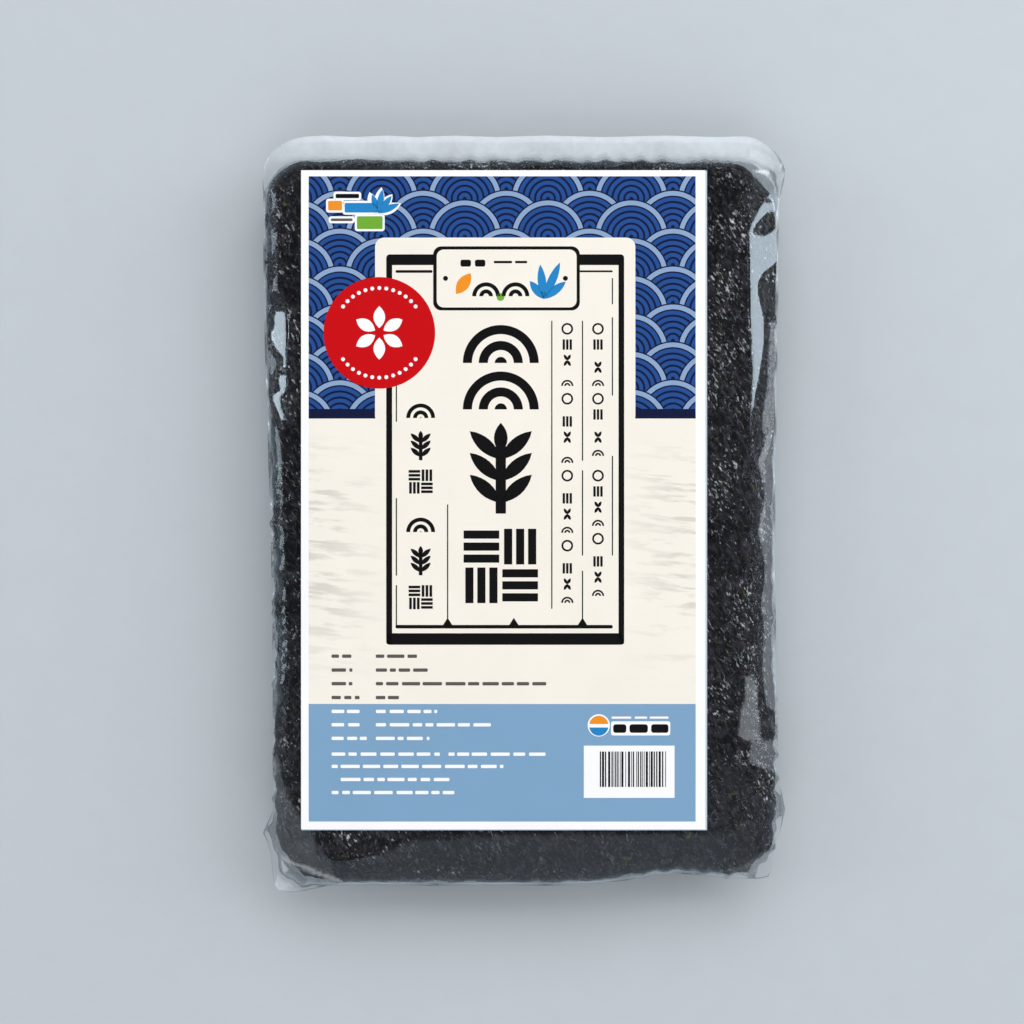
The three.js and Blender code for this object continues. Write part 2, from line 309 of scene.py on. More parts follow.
@dataclass(frozen=True)
class PackForm:
    """The pack's outer form in millimetres, from the same sizes as its solids."""

    half_width: float = 95.9
    half_length: float = 135.9
    height: float = 31.8
    radii: tuple[float, float, float, float] = (19.0, 12.0, 14.0, 14.0)
    face_rounding: Sides = Sides(right=13, top=6, left=7, bottom=18)
    face_drop: float = 9.0
    back_rounding: float = 8.0
    back_drop: float = 7.0
    wall_bulge: float = 1.4
    seam_width: Sides = Sides(right=0.6, top=9.4, left=0.4, bottom=0.8)
    seam_thickness: float = 0.3
    seam_wave: float = 1.3
    seam_wave_length: float = 31.0
    ears: tuple[Ear, ...] = (
        Ear(99.9, 129.7, 13, 4),
        Ear(-98, 137.5, 15, -1),
        Ear(-94.5, -144.5, 15, 3),
        Ear(-99.9, -122.8, 8, 1),
        Ear(99.9, -113.7, 14, 2),
        Ear(93.7, -139.5, 9, 1),
    )
    ear_tent: float = 0.4
    pleat_depth: float = 1.3
    corner_pleat_depth: float = 2.1
    pleat_spacing: float = 11.5
    fine_pleat_spacing: float = 6.7
    edge_pleats: float = 0.75
    face_pleats: float = 0.25
    pleat_fade: float = 17.0
    dome: float = 0.7
    slide: float = 2.4
    left_lean: tuple[float, float, float, float] = (-1.4, 2.2, -60.0, 105.0)
    right_waist: tuple[float, float, float] = (-10.0, 75.0, 1.4)
    right_span: tuple[float, float, float] = (18.0, 122.0, 16.0)
    right_rise: float = 3.4
    sag: float = 2.8
    slump: tuple[float, float, float] = (60.0, 24.0, 4.5)
    flats: tuple[Flat, ...] = (
        Flat(82.6, 107.7, heading=1, tilt=25, low=20, high=116),
        Flat(-87.7, 57.0, heading=181, tilt=31, low=36, high=78),
    )

    @property
    def seam_height(self) -> float:
        """Height of the seam, half way up the bag."""
        return self.height / 2

    def outline(self, count: int) -> Outline:
        """Lays out points round the wall.

        Args:
            count: How many points.

        Returns:
            The points, with outward directions, the way run so far and the pull of the ears.
        """
        places, turns = [], []
        corners = zip(self.radii, (1, 1, -1, -1), (-1, 1, 1, -1), (-90, 0, 90, 180))
        for radius, side_x, side_y, start in corners:
            angle = np.radians(np.linspace(start, start + 90, 40))
            cx = side_x * (self.half_width - radius)
            cy = side_y * (self.half_length - radius)
            places.append(np.stack([cx + radius * np.cos(angle), cy + radius * np.sin(angle)], 1))
            turns.append(angle)
        loop = np.concatenate([*places, places[0][:1]])
        turn = np.concatenate([*turns, turns[0][:1] + 2 * np.pi])
        way = np.concatenate([[0], np.cumsum(np.linalg.norm(np.diff(loop, axis=0), axis=1))])
        run = np.linspace(0, way[-1], count, endpoint=False)
        x, y = np.interp(run, way, loop[:, 0]), np.interp(run, way, loop[:, 1])
        angle = np.interp(run, way, turn)
        nx, ny = np.cos(angle), np.sin(angle)
        y = y - self.slide
        lower, upper, low, high = self.left_lean
        lean = lower + (upper - lower) * smoothstep(y, low, high)
        middle, length, drawn_in = self.right_waist
        waist = drawn_in * np.exp(-(((y - middle) / length) ** 2))
        x = x - np.where(nx < 0, -nx * lean, nx * waist)
        centre, width, depth = self.slump
        y = y + (depth * np.exp(-(((x - centre) / width) ** 2)) - self.sag) * np.maximum(0, -ny)
        pull = self.ear_pull(x, y, nx, ny)
        return Outline(x, y, nx, ny, run, 2 * np.pi * run / way[-1], pull)

    def ear_pull(self, x: np.ndarray, y: np.ndarray, nx: np.ndarray, ny: np.ndarray) -> np.ndarray:
        """The way from the seam's edge to a near ear's tip, fading on both sides of the tip.

        Args:
            x: Places of the wall along x.
            y: Places of the wall along y.
            nx: Outward directions' parts along x.
            ny: Their parts along y.

        Returns:
            A row of x, y and z for each place.
        """
        out = self.wall_bulge + self.seam_width.at(nx, ny)
        edge = np.stack([x + out * nx, y + out * ny], 1)
        pull = np.zeros((len(x), 3))
        for ear in self.ears:
            gap = np.linalg.norm(edge - [ear.x, ear.y], axis=1)
            root = edge[np.argmin(gap)]
            share = np.maximum(0, 1 - np.linalg.norm(edge - root, axis=1) / ear.spread)
            pull += share[:, None] * np.array([ear.x - root[0], ear.y - root[1], ear.lift])
        return pull

    def pleat(self, line: Outline) -> np.ndarray:
        """How far the pleats push the wall in or out. Slow waves make them drift and swell.

        Args:
            line: The outline that they follow.

        Returns:
            The push at each of its points.
        """
        corner = 2 * np.abs(line.nx * line.ny)
        depth = self.pleat_depth + (self.corner_pleat_depth - self.pleat_depth) * corner
        drift = 0.8 * np.sin(5 * line.around) + 0.5 * np.sin(13 * line.around + 1)
        coarse = fold(line.run / self.pleat_spacing + drift)
        fine = fold(line.run / self.fine_pleat_spacing - 1.3 * drift)
        swell = 0.55 + 0.45 * np.sin(3 * line.around + 0.6)
        return depth * swell * (0.65 * coarse + 0.35 * fine)

    def edge_drop(self, line: Outline) -> np.ndarray:
        """How deep the face's edge drops to the wall's top: less where the film spans straight to it.

        Args:
            line: The outline of the wall.

        Returns:
            The depth at each of its points.
        """
        low, high, fade = self.right_span
        span = smoothstep(line.y, low, low + fade) * (1 - smoothstep(line.y, high - fade, high))
        return self.face_drop - self.right_rise * span * np.maximum(0, line.nx)

    def face_height(self, x: np.ndarray, y: np.ndarray) -> np.ndarray:
        """Height of the smooth face: a low dome over the stack."""
        dome = (1 - (x / self.half_width) ** 2) * (1 - (y / self.half_length) ** 2)
        return self.height - self.dome + self.dome * dome

    def ring(
        self,
        line: Outline,
        z: Number,
        inset: Number = 0.0,
        out: Number = 0.0,
        pulled: float = 0.0,
        pleats: float = 0.0,
    ) -> np.ndarray:
        """A ring of the form.

        Args:
            line: The outline that the ring follows.
            z: Height of the ring.
            inset: The way in from the wall.
            out: The way out of the wall.
            pulled: Share of the ears' pull that the ring follows.
            pleats: Share of the pleats that it follows.

        Returns:
            An array of points.
        """
        push = out + pleats * self.pleat(line)
        x = line.x * (self.half_width - inset) / self.half_width + line.nx * push
        y = line.y * (self.half_length - inset) / self.half_length + line.ny * push
        place = np.stack([x, y, np.broadcast_to(z, x.shape)], 1)
        place[:, :2] += line.pull[:, :2] * pulled
        return place

    def edge_share(self, past: float, turn: float) -> float:
        """Share of the pleats at a place past the edge of the face or back, and at a turn round it."""
        fade = float(1 - smoothstep(past, 0, self.pleat_fade))
        return self.face_pleats * fade + (self.edge_pleats - self.face_pleats) * turn

    def face_ring(self, line: Outline, past: float, turn: float = 0.0) -> np.ndarray:
        """A ring of the face.

        Args:
            line: The outline that the ring follows.
            past: How far inside the rounded edge the ring lies.
            turn: How far round the edge it lies, from 0, the face, to 1, the wall's top.

        Returns:
            An array of points.
        """
        angle = math.pi / 2 * turn
        rounding = self.face_rounding.at(line.nx, line.ny)
        pleats = self.edge_share(past, turn)
        place = self.ring(line, 0, inset=rounding * (1 - math.sin(angle)) + past, pleats=pleats)
        x, y = place[:, 0], place[:, 1]
        z = self.face_height(x, y) - self.edge_drop(line) * (1 - math.cos(angle))
        for flat in self.flats:
            z = np.minimum(z, flat.height(x, y, self.height))
        place[:, 2] = z
        return place

    def back_ring(self, line: Outline, past: float, turn: float = 0.0) -> np.ndarray:
        """A ring of the back.

        Args:
            line: The outline that the ring follows.
            past: How far inside the rounded edge the ring lies.
            turn: How far round the edge it lies, from 0, the back, to 1, the wall's foot.

        Returns:
            An array of points.
        """
        angle = math.pi / 2 * turn
        pleats = self.edge_share(past, turn)
        return self.ring(
            line,
            self.back_drop * (1 - math.cos(angle)),
            inset=self.back_rounding * (1 - math.sin(angle)) + past,
            pleats=pleats,
        )

    def wall_ring(self, line: Outline, share: float, upper: bool) -> np.ndarray:
        """A ring of the wall.

        Args:
            line: The outline that the ring follows.
            share: Its share of the way from the wall's edge to the seam.
            upper: Whether it lies above the seam.

        Returns:
            An array of points.
        """
        side = 1 if upper else -1
        top = self.face_ring(line, 0, 1)[:, 2] if upper else self.back_drop
        seam = self.seam_height + side * self.seam_thickness / 2
        return self.ring(
            line,
            top + (seam - top) * share,
            out=self.wall_bulge * share,
            pulled=self.ear_tent * share * share,
            pleats=self.edge_pleats + (1 - self.edge_pleats) * share,
        )

    def seam_ring(self, line: Outline, share: float, side: int) -> np.ndarray:
        """A ring of the seam's fin.

        Args:
            line: The outline that the ring follows.
            share: Its share of the fin's width.
            side: 1 for the fin's upper layer, -1 for the lower.

        Returns:
            An array of points.
        """
        wave = self.seam_wave * fold(line.run / self.seam_wave_length + 0.4 * np.sin(4 * line.around))
        lift = share * (wave + line.pull[:, 2])
        return self.ring(
            line,
            self.seam_height + lift + side * self.seam_thickness / 2,
            out=self.wall_bulge + share * self.seam_width.at(line.nx, line.ny),
            pulled=self.ear_tent + (1 - self.ear_tent) * share,
            pleats=1 - share,
        )


# ---------------------------------------------------------------- meshes


class Slot(Enum):
    """The record's material slots."""

    FILM = "film"
    NORI = "nori"
    PAPER = "label_paper"
    INK = "print_ink"


def add_piece(mesh: bpy.types.Mesh, finish: bpy.types.Material, node: str) -> None:
    """Adds a mesh to the scene as a piece of the pack, under the mesh's name.

    Args:
        mesh: The piece's mesh, in metres and in place.
        finish: Its material.
        node: The solid that it replaces.
    """
    piece = bpy.data.objects.new(mesh.name, mesh)
    bpy.context.scene.collection.objects.link(piece)
    mesh.materials.append(finish)
    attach(piece, "root")
    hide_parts(node)
    log.info("%s: %d faces", mesh.name, len(mesh.polygons))


def finish_mesh(bm: bmesh.types.BMesh, name: str, smooth: bool = True) -> bpy.types.Mesh:
    """Writes a bmesh to a new mesh, and frees it.

    Args:
        bm: The bmesh, in millimetres.
        name: The mesh's name.
        smooth: Whether it is shaded smooth.

    Returns:
        The mesh, in metres.
    """
    bmesh.ops.translate(bm, vec=SHIFT, verts=bm.verts)
    bmesh.ops.scale(bm, vec=(MM, MM, MM), verts=bm.verts)
    mesh = bpy.data.meshes.new(name)
    bm.to_mesh(mesh)
    bm.free()
    mesh.polygons.foreach_set("use_smooth", [smooth] * len(mesh.polygons))
    return mesh


def thicken(bm: bmesh.types.BMesh, thickness: float) -> None:
    """Gives all faces a thickness, then puts them in one order, as the operator's differs from run to run.

    Args:
        bm: The bmesh, with flat faces that share no vertex with another piece.
        thickness: The thickness, negative to grow against the faces' normals.
    """
    bmesh.ops.solidify(bm, geom=bm.faces[:], thickness=thickness)
    bm.verts.index_update()
    count = len(bm.verts)

    def rank(face: bmesh.types.BMFace) -> float:
        """A number that no other face has, from the face's three lowest vertices."""
        low, middle, high = sorted(vert.index for vert in face.verts)[:3]
        return (low * count + middle) * count + high

    bm.faces.sort(key=rank)


def ring_skin(rings: np.ndarray, **marks: np.ndarray) -> bmesh.types.BMesh:
    """Makes a closed skin from rings of equal length.

    Args:
        rings: Points of shape (rings, points round, 3), from the middle of the face to that of the back.
        marks: Values for each point, kept on the vertices as attributes.

    Returns:
        The skin as a bmesh, in the rings' units.
    """
    tall, count = rings.shape[:2]
    bm = bmesh.new()
    bmesh.ops.create_grid(bm, x_segments=count, y_segments=tall - 1, size=1)
    wrapped = np.concatenate([rings, rings[:, :1]], axis=1).reshape(-1, 3)
    for vert, place in zip(bm.verts, wrapped):
        vert.co = place
    for mark, values in marks.items():
        layer = bm.verts.layers.float.new(mark)
        flat = np.concatenate([values, values[:, :1]], axis=1).ravel()
        for vert, value in zip(bm.verts, flat):
            vert[layer] = value
    bm.verts.ensure_lookup_table()
    seam = [bm.verts[row * (count + 1) + end] for row in range(tall) for end in (0, count)]
    bmesh.ops.remove_doubles(bm, verts=seam, dist=1e-5)
    open_edges = [edge for edge in bm.edges if edge.is_boundary]
    caps = bmesh.ops.holes_fill(bm, edges=open_edges, sides=0)["faces"]
    bmesh.ops.poke(bm, faces=caps)
    bmesh.ops.recalc_face_normals(bm, faces=bm.faces)
    return bm


def ring_normals(rings: np.ndarray) -> np.ndarray:
    """Outward directions at the points of a skin's rings.

    Args:
        rings: Points of shape (rings, points round, 3).

    Returns:
        Unit vectors in the same shape.
    """
    along = np.roll(rings, -1, axis=1) - np.roll(rings, 1, axis=1)
    normal = np.cross(np.gradient(rings, axis=0), along)
    return normal / np.maximum(np.linalg.norm(normal, axis=-1, keepdims=True), 1e-9)


def ring_travel(rings: np.ndarray) -> np.ndarray:
    """The mean way across a skin's rings to each ring, in the rings' units."""
    steps = np.linalg.norm(np.diff(rings, axis=0), axis=-1).mean(axis=1)
    return np.concatenate([[0], np.cumsum(steps)])


# ---------------------------------------------------------------- shader nodes


class Wiring:
    """Short ways to add and join the nodes of one material or node group."""

    def __init__(self, tree: bpy.types.NodeTree) -> None:
        """Works on a node tree."""
        self.tree = tree

    def node(self, kind: str, **settings: object) -> bpy.types.Node:
        """Adds a node.

        Args:
            kind: The node's type without its first word.
            **settings: Settings of the node by name.

        Returns:
            The node.
        """
        made = self.tree.nodes.new("ShaderNode" + kind)
        for name, value in settings.items():
            setattr(made, name, value)
        return made

    def feed(self, socket: Socket, value: Socket | float | tuple) -> None:
        """Joins a socket to another one, or sets it.

        Args:
            socket: The input.
            value: The output that it reads, or its own value.
        """
        if isinstance(value, bpy.types.NodeSocket):
            self.tree.links.new(value, socket)
        elif isinstance(value, tuple) and len(value) == 3 and socket.type == "RGBA":
            socket.default_value = (*value, 1.0)
        else:
            socket.default_value = value

    def math(self, operation: str, *values: Socket | float, clamp: bool = False) -> Socket:
        """Adds a Math node.

        Args:
            operation: What it works out.
            *values: Its inputs.
            clamp: Whether the result is held between 0 and 1.

        Returns:
            The result.
        """
        made = self.node("Math", operation=operation, use_clamp=clamp)
        for socket, value in zip(made.inputs, values):
            self.feed(socket, value)
        return made.outputs[0]

    def mix(self, share: Socket | float, first: Socket | Colour, second: Socket | Colour) -> Socket:
        """Mixes two colours.

        Args:
            share: Share of the second colour.
            first: The first colour.
            second: The second colour.

        Returns:
            The mixed colour.
        """
        made = self.node("Mix", data_type="RGBA")
        self.feed(made.inputs["Factor"], share)
        self.feed(made.inputs[6], first)
        self.feed(made.inputs[7], second)
        return made.outputs[2]

    def span(self, value: Socket, low: float, high: float, start: float = 0, end: float = 1) -> Socket:
        """Maps a value from low..high to start..end, and holds it there outside.

        Args:
            value: The value.
            low: Where it gives start.
            high: Where it gives end.
            start: The result at low and below.
            end: The result at high and above.

        Returns:
            The mapped value.
        """
        made = self.node("MapRange", clamp=True)
        for socket, given in zip(made.inputs, (value, low, high, start, end)):
            self.feed(socket, given)
        return made.outputs[0]

    def noise(self, place: Socket, scale: float, detail: float = 2, rough: float = 0.5) -> Socket:
        """Adds a noise texture.

        Args:
            place: The coordinates that it reads.
            scale: Lumps in a metre.
            detail: How many finer noises are added.
            rough: How strong the finer ones are.

        Returns:
            The noise, about 0 to 1.
        """
        made = self.node("TexNoise")
        self.feed(made.inputs["Vector"], place)
        self.feed(made.inputs["Scale"], scale)
        self.feed(made.inputs["Detail"], detail)
        self.feed(made.inputs["Roughness"], rough)
        return made.outputs["Fac"]

    def place(self, scale: Colour = (1, 1, 1), shift: Colour = (0, 0, 0), turn: float = 0) -> Socket:
        """Object coordinates, turned about Z, then scaled and moved.

        Args:
            scale: Scale along each axis, after the turn.
            shift: The move along each axis, after the scale.
            turn: The turn in radians.

        Returns:
            The coordinates.
        """
        turned = self.node("Mapping")
        self.feed(turned.inputs["Vector"], self.node("TexCoord").outputs["Object"])
        turned.inputs["Rotation"].default_value = (0, 0, turn)
        scaled = self.node("Mapping")
        self.feed(scaled.inputs["Vector"], turned.outputs[0])
        scaled.inputs["Scale"].default_value = scale
        scaled.inputs["Location"].default_value = shift
        return scaled.outputs[0]

    def attribute(self, name: str) -> Socket:
        """The value of an attribute of the mesh."""
        return self.node("Attribute", attribute_name=name).outputs["Fac"]

    def bump(self, height: Socket, distance: float, strength: float = 1.0) -> Socket:
        """Adds a Bump node.

        Args:
            height: The relief, 0 to 1.
            distance: Its depth in metres.
            strength: Share of the relief that is used.

        Returns:
            The normal.
        """
        made = self.node("Bump")
        made.inputs["Strength"].default_value = strength
        made.inputs["Distance"].default_value = distance
        self.feed(made.inputs["Height"], height)
        return made.outputs[0]

    def group(self, tree: bpy.types.NodeTree, **values: Socket | float) -> bpy.types.Node:
        """Adds a group node.

        Args:
            tree: The node group.
            **values: What its inputs are fed, by name.

        Returns:
            The group node.
        """
        made = self.node("Group", node_tree=tree)
        for name, value in values.items():
            self.feed(made.inputs[name], value)
        return made


def new_group(name: str, inputs: dict[str, str], outputs: dict[str, str]) -> tuple[Wiring, dict, dict]:
    """Starts a shader node group.

    Args:
        name: The group's name.
        inputs: Each input's name and its kind of socket.
        outputs: Each output's name and its kind of socket.

    Returns:
        The wiring, the group's inputs to read from and its outputs to feed.
    """
    tree = bpy.data.node_groups.new(name, "ShaderNodeTree")
    for side, sockets in (("INPUT", inputs), ("OUTPUT", outputs)):
        for socket, kind in sockets.items():
            tree.interface.new_socket(name=socket, in_out=side, socket_type="NodeSocket" + kind)
    start = tree.nodes.new("NodeGroupInput")
    end = tree.nodes.new("NodeGroupOutput")
    return (
        Wiring(tree),
        {socket: start.outputs[socket] for socket in inputs},
        {socket: end.inputs[socket] for socket in outputs},
    )


def new_finish(name: str) -> tuple[bpy.types.Material, Wiring, bpy.types.Node]:
    """Starts a material.

    Args:
        name: The material's name.

    Returns:
        The material, its wiring and its Principled node.
    """
    material = bpy.data.materials.new(name)
    material.use_nodes = True
    wiring = Wiring(material.node_tree)
    return material, wiring, material.node_tree.nodes["Principled BSDF"]


class Effects:
    """The node groups that several finishes share."""

    def __init__(self) -> None:
        """Builds each group once."""
        self.grain = self.paper_grain()
        self.fibres = self.fibre_relief()

    @staticmethod
    def paper_grain() -> bpy.types.NodeTree:
        """Coated paper: a fine grain, and a slow change of shade.

        Returns:
            The group's node tree.
        """
        w, given, out = new_group(
            "paper_grain", {"Place": "Vector"}, {"Grain": "Float", "Shade": "Float"}
        )
        fine = w.noise(given["Place"], 2600, detail=3, rough=0.7)
        slow = w.noise(given["Place"], 45, detail=2)
        w.feed(out["Grain"], fine)
        w.feed(out["Shade"], w.math("ADD", w.math("MULTIPLY", fine, 0.5), w.math("MULTIPLY", slow, 0.5)))
        return w.tree

    @staticmethod
    def fibre_relief() -> bpy.types.NodeTree:
        """Dried seaweed: stretched, tangled fibres, as a height, and a mask of their crests that is used for
        a painted sheen.

        Returns:
            The group's node tree.
        """
        w, given, out = new_group(
            "fibre_relief", {"Place": "Vector"}, {"Height": "Float", "PaintedSheen": "Float"}
        )
        bend = w.noise(given["Place"], 260, detail=1)
        swirl = w.node("VectorMath", operation="SCALE")
        w.feed(swirl.inputs[0], given["Place"])
        w.feed(swirl.inputs["Scale"], w.span(bend, 0.3, 0.7, 0.8, 1.3))
        fibre = w.noise(swirl.outputs[0], 1500, detail=4, rough=0.65)
        ridge = w.math("SUBTRACT", 1.0, w.math("ABSOLUTE", w.math("MULTIPLY_ADD", fibre, 4.0, -2.0)))
        w.feed(out["Height"], ridge)
        w.feed(out["PaintedSheen"], w.span(ridge, 0.55, 0.95))
        return w.tree


# ---------------------------------------------------------------- finishes


@dataclass(frozen=True)
class FilmFinish:
    """Clear, thin, glossy film. It mirrors a little, more at a slant, and lets the rest through."""

    tint: Colour = (0.74, 0.885, 1.0)
    milk_and_light_colour: Colour = (0.87, 0.935, 1.0)
    roughness: float = 0.1
    haze: float = 0.004
    mirror: float = 2.1
    wetted: float = 0.5
    most: float = 0.55
    wrinkle: float = 0.00064
    lump_scale: float = 420
    slow_scale: float = 90
    clear_from: float = 0.46
    clear_to: float = 0.54
    calm: float = 0.12
    cloud_scale: float = 240
    cloud: float = 0.08
    whitening: float = 4.5

    def build(self) -> bpy.types.Material:
        """Makes the material.

        Returns:
            The film's material.
        """
        material, w, shader = new_finish("film")
        place = w.place()
        lumps = w.noise(place, self.lump_scale, detail=3, rough=0.6)
        slow = w.noise(place, self.slow_scale, detail=1)
        clear = w.span(w.attribute("clear"), self.clear_from, self.clear_to)
        press = w.span(clear, 0, 1, 1.0, self.calm)
        normal = w.bump(w.math("MULTIPLY", lumps, press), self.wrinkle)
        fresnel = w.node("Fresnel")
        fresnel.inputs["IOR"].default_value = FILM_IOR
        w.feed(fresnel.inputs["Normal"], normal)
        gloss = w.attribute("gloss")
        gloss = w.math("MULTIPLY", gloss, w.span(clear, 0, 1, self.wetted, self.mirror))
        mirrored = w.math("MULTIPLY", fresnel.outputs[0], gloss)
        w.feed(shader.inputs["Roughness"], w.span(slow, 0.3, 0.7, self.roughness * 0.7, self.roughness * 1.4))
        # Milky parts turn the film white and diffuse: folded film, and painted highlights on creases and
        # painted light over film in shade.
        veil = w.attribute("veil")
        cloud = w.noise(w.place(), self.cloud_scale, detail=2)
        milk_and_light_share = w.math("MULTIPLY", veil, w.span(cloud, 0.3, 0.7, 1 - self.cloud, 1 + self.cloud))
        white = w.math("MULTIPLY", milk_and_light_share, self.whitening, clamp=True)
        mirrored = w.math("MULTIPLY", mirrored, w.math("SUBTRACT", 1.0, white))
        seen = w.math("MINIMUM", w.math("ADD", mirrored, self.haze), self.most)
        w.feed(shader.inputs["Base Color"], w.mix(white, self.tint, self.milk_and_light_colour))
        w.feed(shader.inputs["Metallic"], w.math("SUBTRACT", 1.0, white))
        w.feed(shader.inputs["Alpha"], w.math("MAXIMUM", seen, milk_and_light_share))
        w.feed(shader.inputs["Normal"], normal)
        return material


@dataclass(frozen=True)
class NoriFinish:
    """Dried seaweed, near black, with green, olive and brown bits, and small painted glints: bright specks
    and grey strands in place of highlights.
    """

    name: str
    black: Colour = srgb(8, 7, 9)
    purple: Colour = srgb(74, 69, 79)
    grey: Colour = srgb(130, 134, 142)
    painted_glint: Colour = srgb(226, 232, 238)
    green: Colour = srgb(84, 100, 48)
    brown: Colour = srgb(98, 78, 58)
    relief_depth: float = 0.00022
    grain_scale: Colour = (1.0, 0.4, 1.0)
    grain_turn: float = -0.55
    mottle_scale: float = 600
    mottle: tuple[float, float] = (0.46, 0.66)
    cluster_scale: float = 90
    cluster: float = 0.07
    painted_speck_scale: float = 1120
    painted_speck: tuple[float, float] = (0.625, 0.735)
    grey_tone: tuple[float, float] = (0.8, 0.9)
    green_tone: tuple[float, float] = (0.94, 0.945)
    brown_tone: tuple[float, float] = (0.98, 0.985)

    def build(self, effects: Effects) -> bpy.types.Material:
        """Makes the material.

        Args:
            effects: The shared node groups.

        Returns:
            The material.
        """
        material, w, shader = new_finish(self.name)
        place = w.place(scale=self.grain_scale, turn=self.grain_turn)
        relief = w.group(effects.fibres, Place=place)
        tone = w.attribute("tone")
        mottle = w.noise(place, self.mottle_scale, detail=3, rough=0.66)
        base = w.mix(w.span(mottle, *self.mottle), self.black, self.purple)
        # Tones from 0.8 up give the grey, under the green and brown bits: on the strands it stands in for
        # glints, a painted highlight; on the few inner sheets with such a tone it makes them greyer.
        base = w.mix(w.span(tone, *self.grey_tone, 0, 0.7), base, self.grey)
        base = w.mix(w.span(tone, *self.green_tone), base, self.green)
        base = w.mix(w.span(tone, *self.brown_tone), base, self.brown)
        # Painted glints: bright specks, gathered in clusters, stand in for highlights on the seaweed; the
        # same specks are also made glossier.
        spread = w.noise(w.place(), self.cluster_scale, detail=2)
        cluster = w.span(spread, 0.35, 0.65, self.cluster, -self.cluster)
        painted_speck = w.math("SUBTRACT", w.noise(place, self.painted_speck_scale, detail=2, rough=0.5), cluster)
        shine = w.attribute("shine")
        painted_speck = w.math("MULTIPLY", w.span(painted_speck, *self.painted_speck), shine)
        shade = w.mix(painted_speck, base, self.painted_glint)
        # The fibres' crests are lightened a little with grey: a painted sheen.
        shade = w.mix(w.math("MULTIPLY", relief.outputs["PaintedSheen"], 0.1), shade, self.grey)
        w.feed(shader.inputs["Base Color"], shade)
        w.feed(shader.inputs["Roughness"], w.span(painted_speck, 0, 1, 0.6, 0.32))
        shader.inputs["Specular IOR Level"].default_value = 0.18
        w.feed(shader.inputs["Normal"], w.bump(relief.outputs["Height"], self.relief_depth))
        return material


@dataclass(frozen=True)
class InkFinish:
    """A flat printing ink on coated paper."""

    name: str
    colour: Colour
    roughness: float = 0.5
    darker: float = 0.94
    grain_depth: float = 0.000012

    def build(self, effects: Effects) -> bpy.types.Material:
        """Makes the material.

        Args:
            effects: The shared node groups.

        Returns:
            The material.
        """
        material, w, shader = new_finish(self.name)
        paper = w.group(effects.grain, Place=w.place())
        darker = tuple(self.darker * part for part in self.colour)
        shade = w.span(paper.outputs["Shade"], 0.3, 0.7)
        w.feed(shader.inputs["Base Color"], w.mix(shade, darker, self.colour))
        w.feed(shader.inputs["Roughness"], w.span(paper.outputs["Grain"], 0.3, 0.7, self.roughness, 0.62))
        shader.inputs["Specular IOR Level"].default_value = 0.2
        w.feed(shader.inputs["Normal"], w.bump(paper.outputs["Grain"], self.grain_depth))
        return material


@dataclass(frozen=True)
class WavePrint:
    """Overlapping fans of rings: a traditional wave pattern, in millimetres from the label's middle.

    The fans stand in rows. Every second row is half a pitch to the side and higher by step_up.
    """

    pitch: float = 31.2
    pair_step: float = 14.2
    step_up: float = 3.6
    radius: float = 14.0
    first_x: float = -14.4
    first_y: float = 98.6
    rim: float = 13.5
    ring: float = 11.75
    core: float = 11.2
    line_step: float = 2.25
    line_width: float = 0.8

    def build(self) -> bpy.types.NodeTree:
        """Makes a group that gives masks of the pale rings and of the dark lines.

        Returns:
            The group's node tree.
        """
        w, given, out = new_group(
            "wave_fans", {"X": "Float", "Y": "Float"}, {"Pale": "Float", "Dark": "Float"}
        )
        x = w.math("SUBTRACT", given["X"], self.first_x)
        y = w.math("SUBTRACT", given["Y"], self.first_y)
        lowest = w.math("CEIL", w.math("DIVIDE", w.math("SUBTRACT", y, self.radius), self.pair_step))
        way: Socket | float = self.radius
        for row, raised in ((1, True), (1, False), (0, True), (0, False), (-1, True)):
            up_by = row * self.pair_step + (self.step_up if raised else 0)
            up = w.math("SUBTRACT", y, w.math("MULTIPLY_ADD", lowest, self.pair_step, up_by))
            aside = w.math("ADD", x, self.pitch * (1.0 if raised else 0.5))
            across = w.math("SUBTRACT", w.math("FLOORED_MODULO", aside, self.pitch), self.pitch / 2)
            here = w.math("SQRT", w.math("MULTIPLY_ADD", up, up, w.math("MULTIPLY", across, across)))
            inside = w.math("LESS_THAN", here, self.radius)
            kept = w.math("MULTIPLY", w.math("SUBTRACT", 1.0, inside), way)
            way = w.math("MULTIPLY_ADD", inside, here, kept)
        within_rim = w.math("LESS_THAN", way, self.rim)
        w.feed(out["Pale"], w.math("MULTIPLY", w.math("GREATER_THAN", way, self.ring), within_rim))
        step = w.math("FLOORED_MODULO", w.math("SUBTRACT", self.core, way), self.line_step)
        line = w.math("GREATER_THAN", step, self.line_step - self.line_width)
        w.feed(out["Dark"], w.math("MAXIMUM", line, w.math("GREATER_THAN", way, self.core)))
        return w.tree


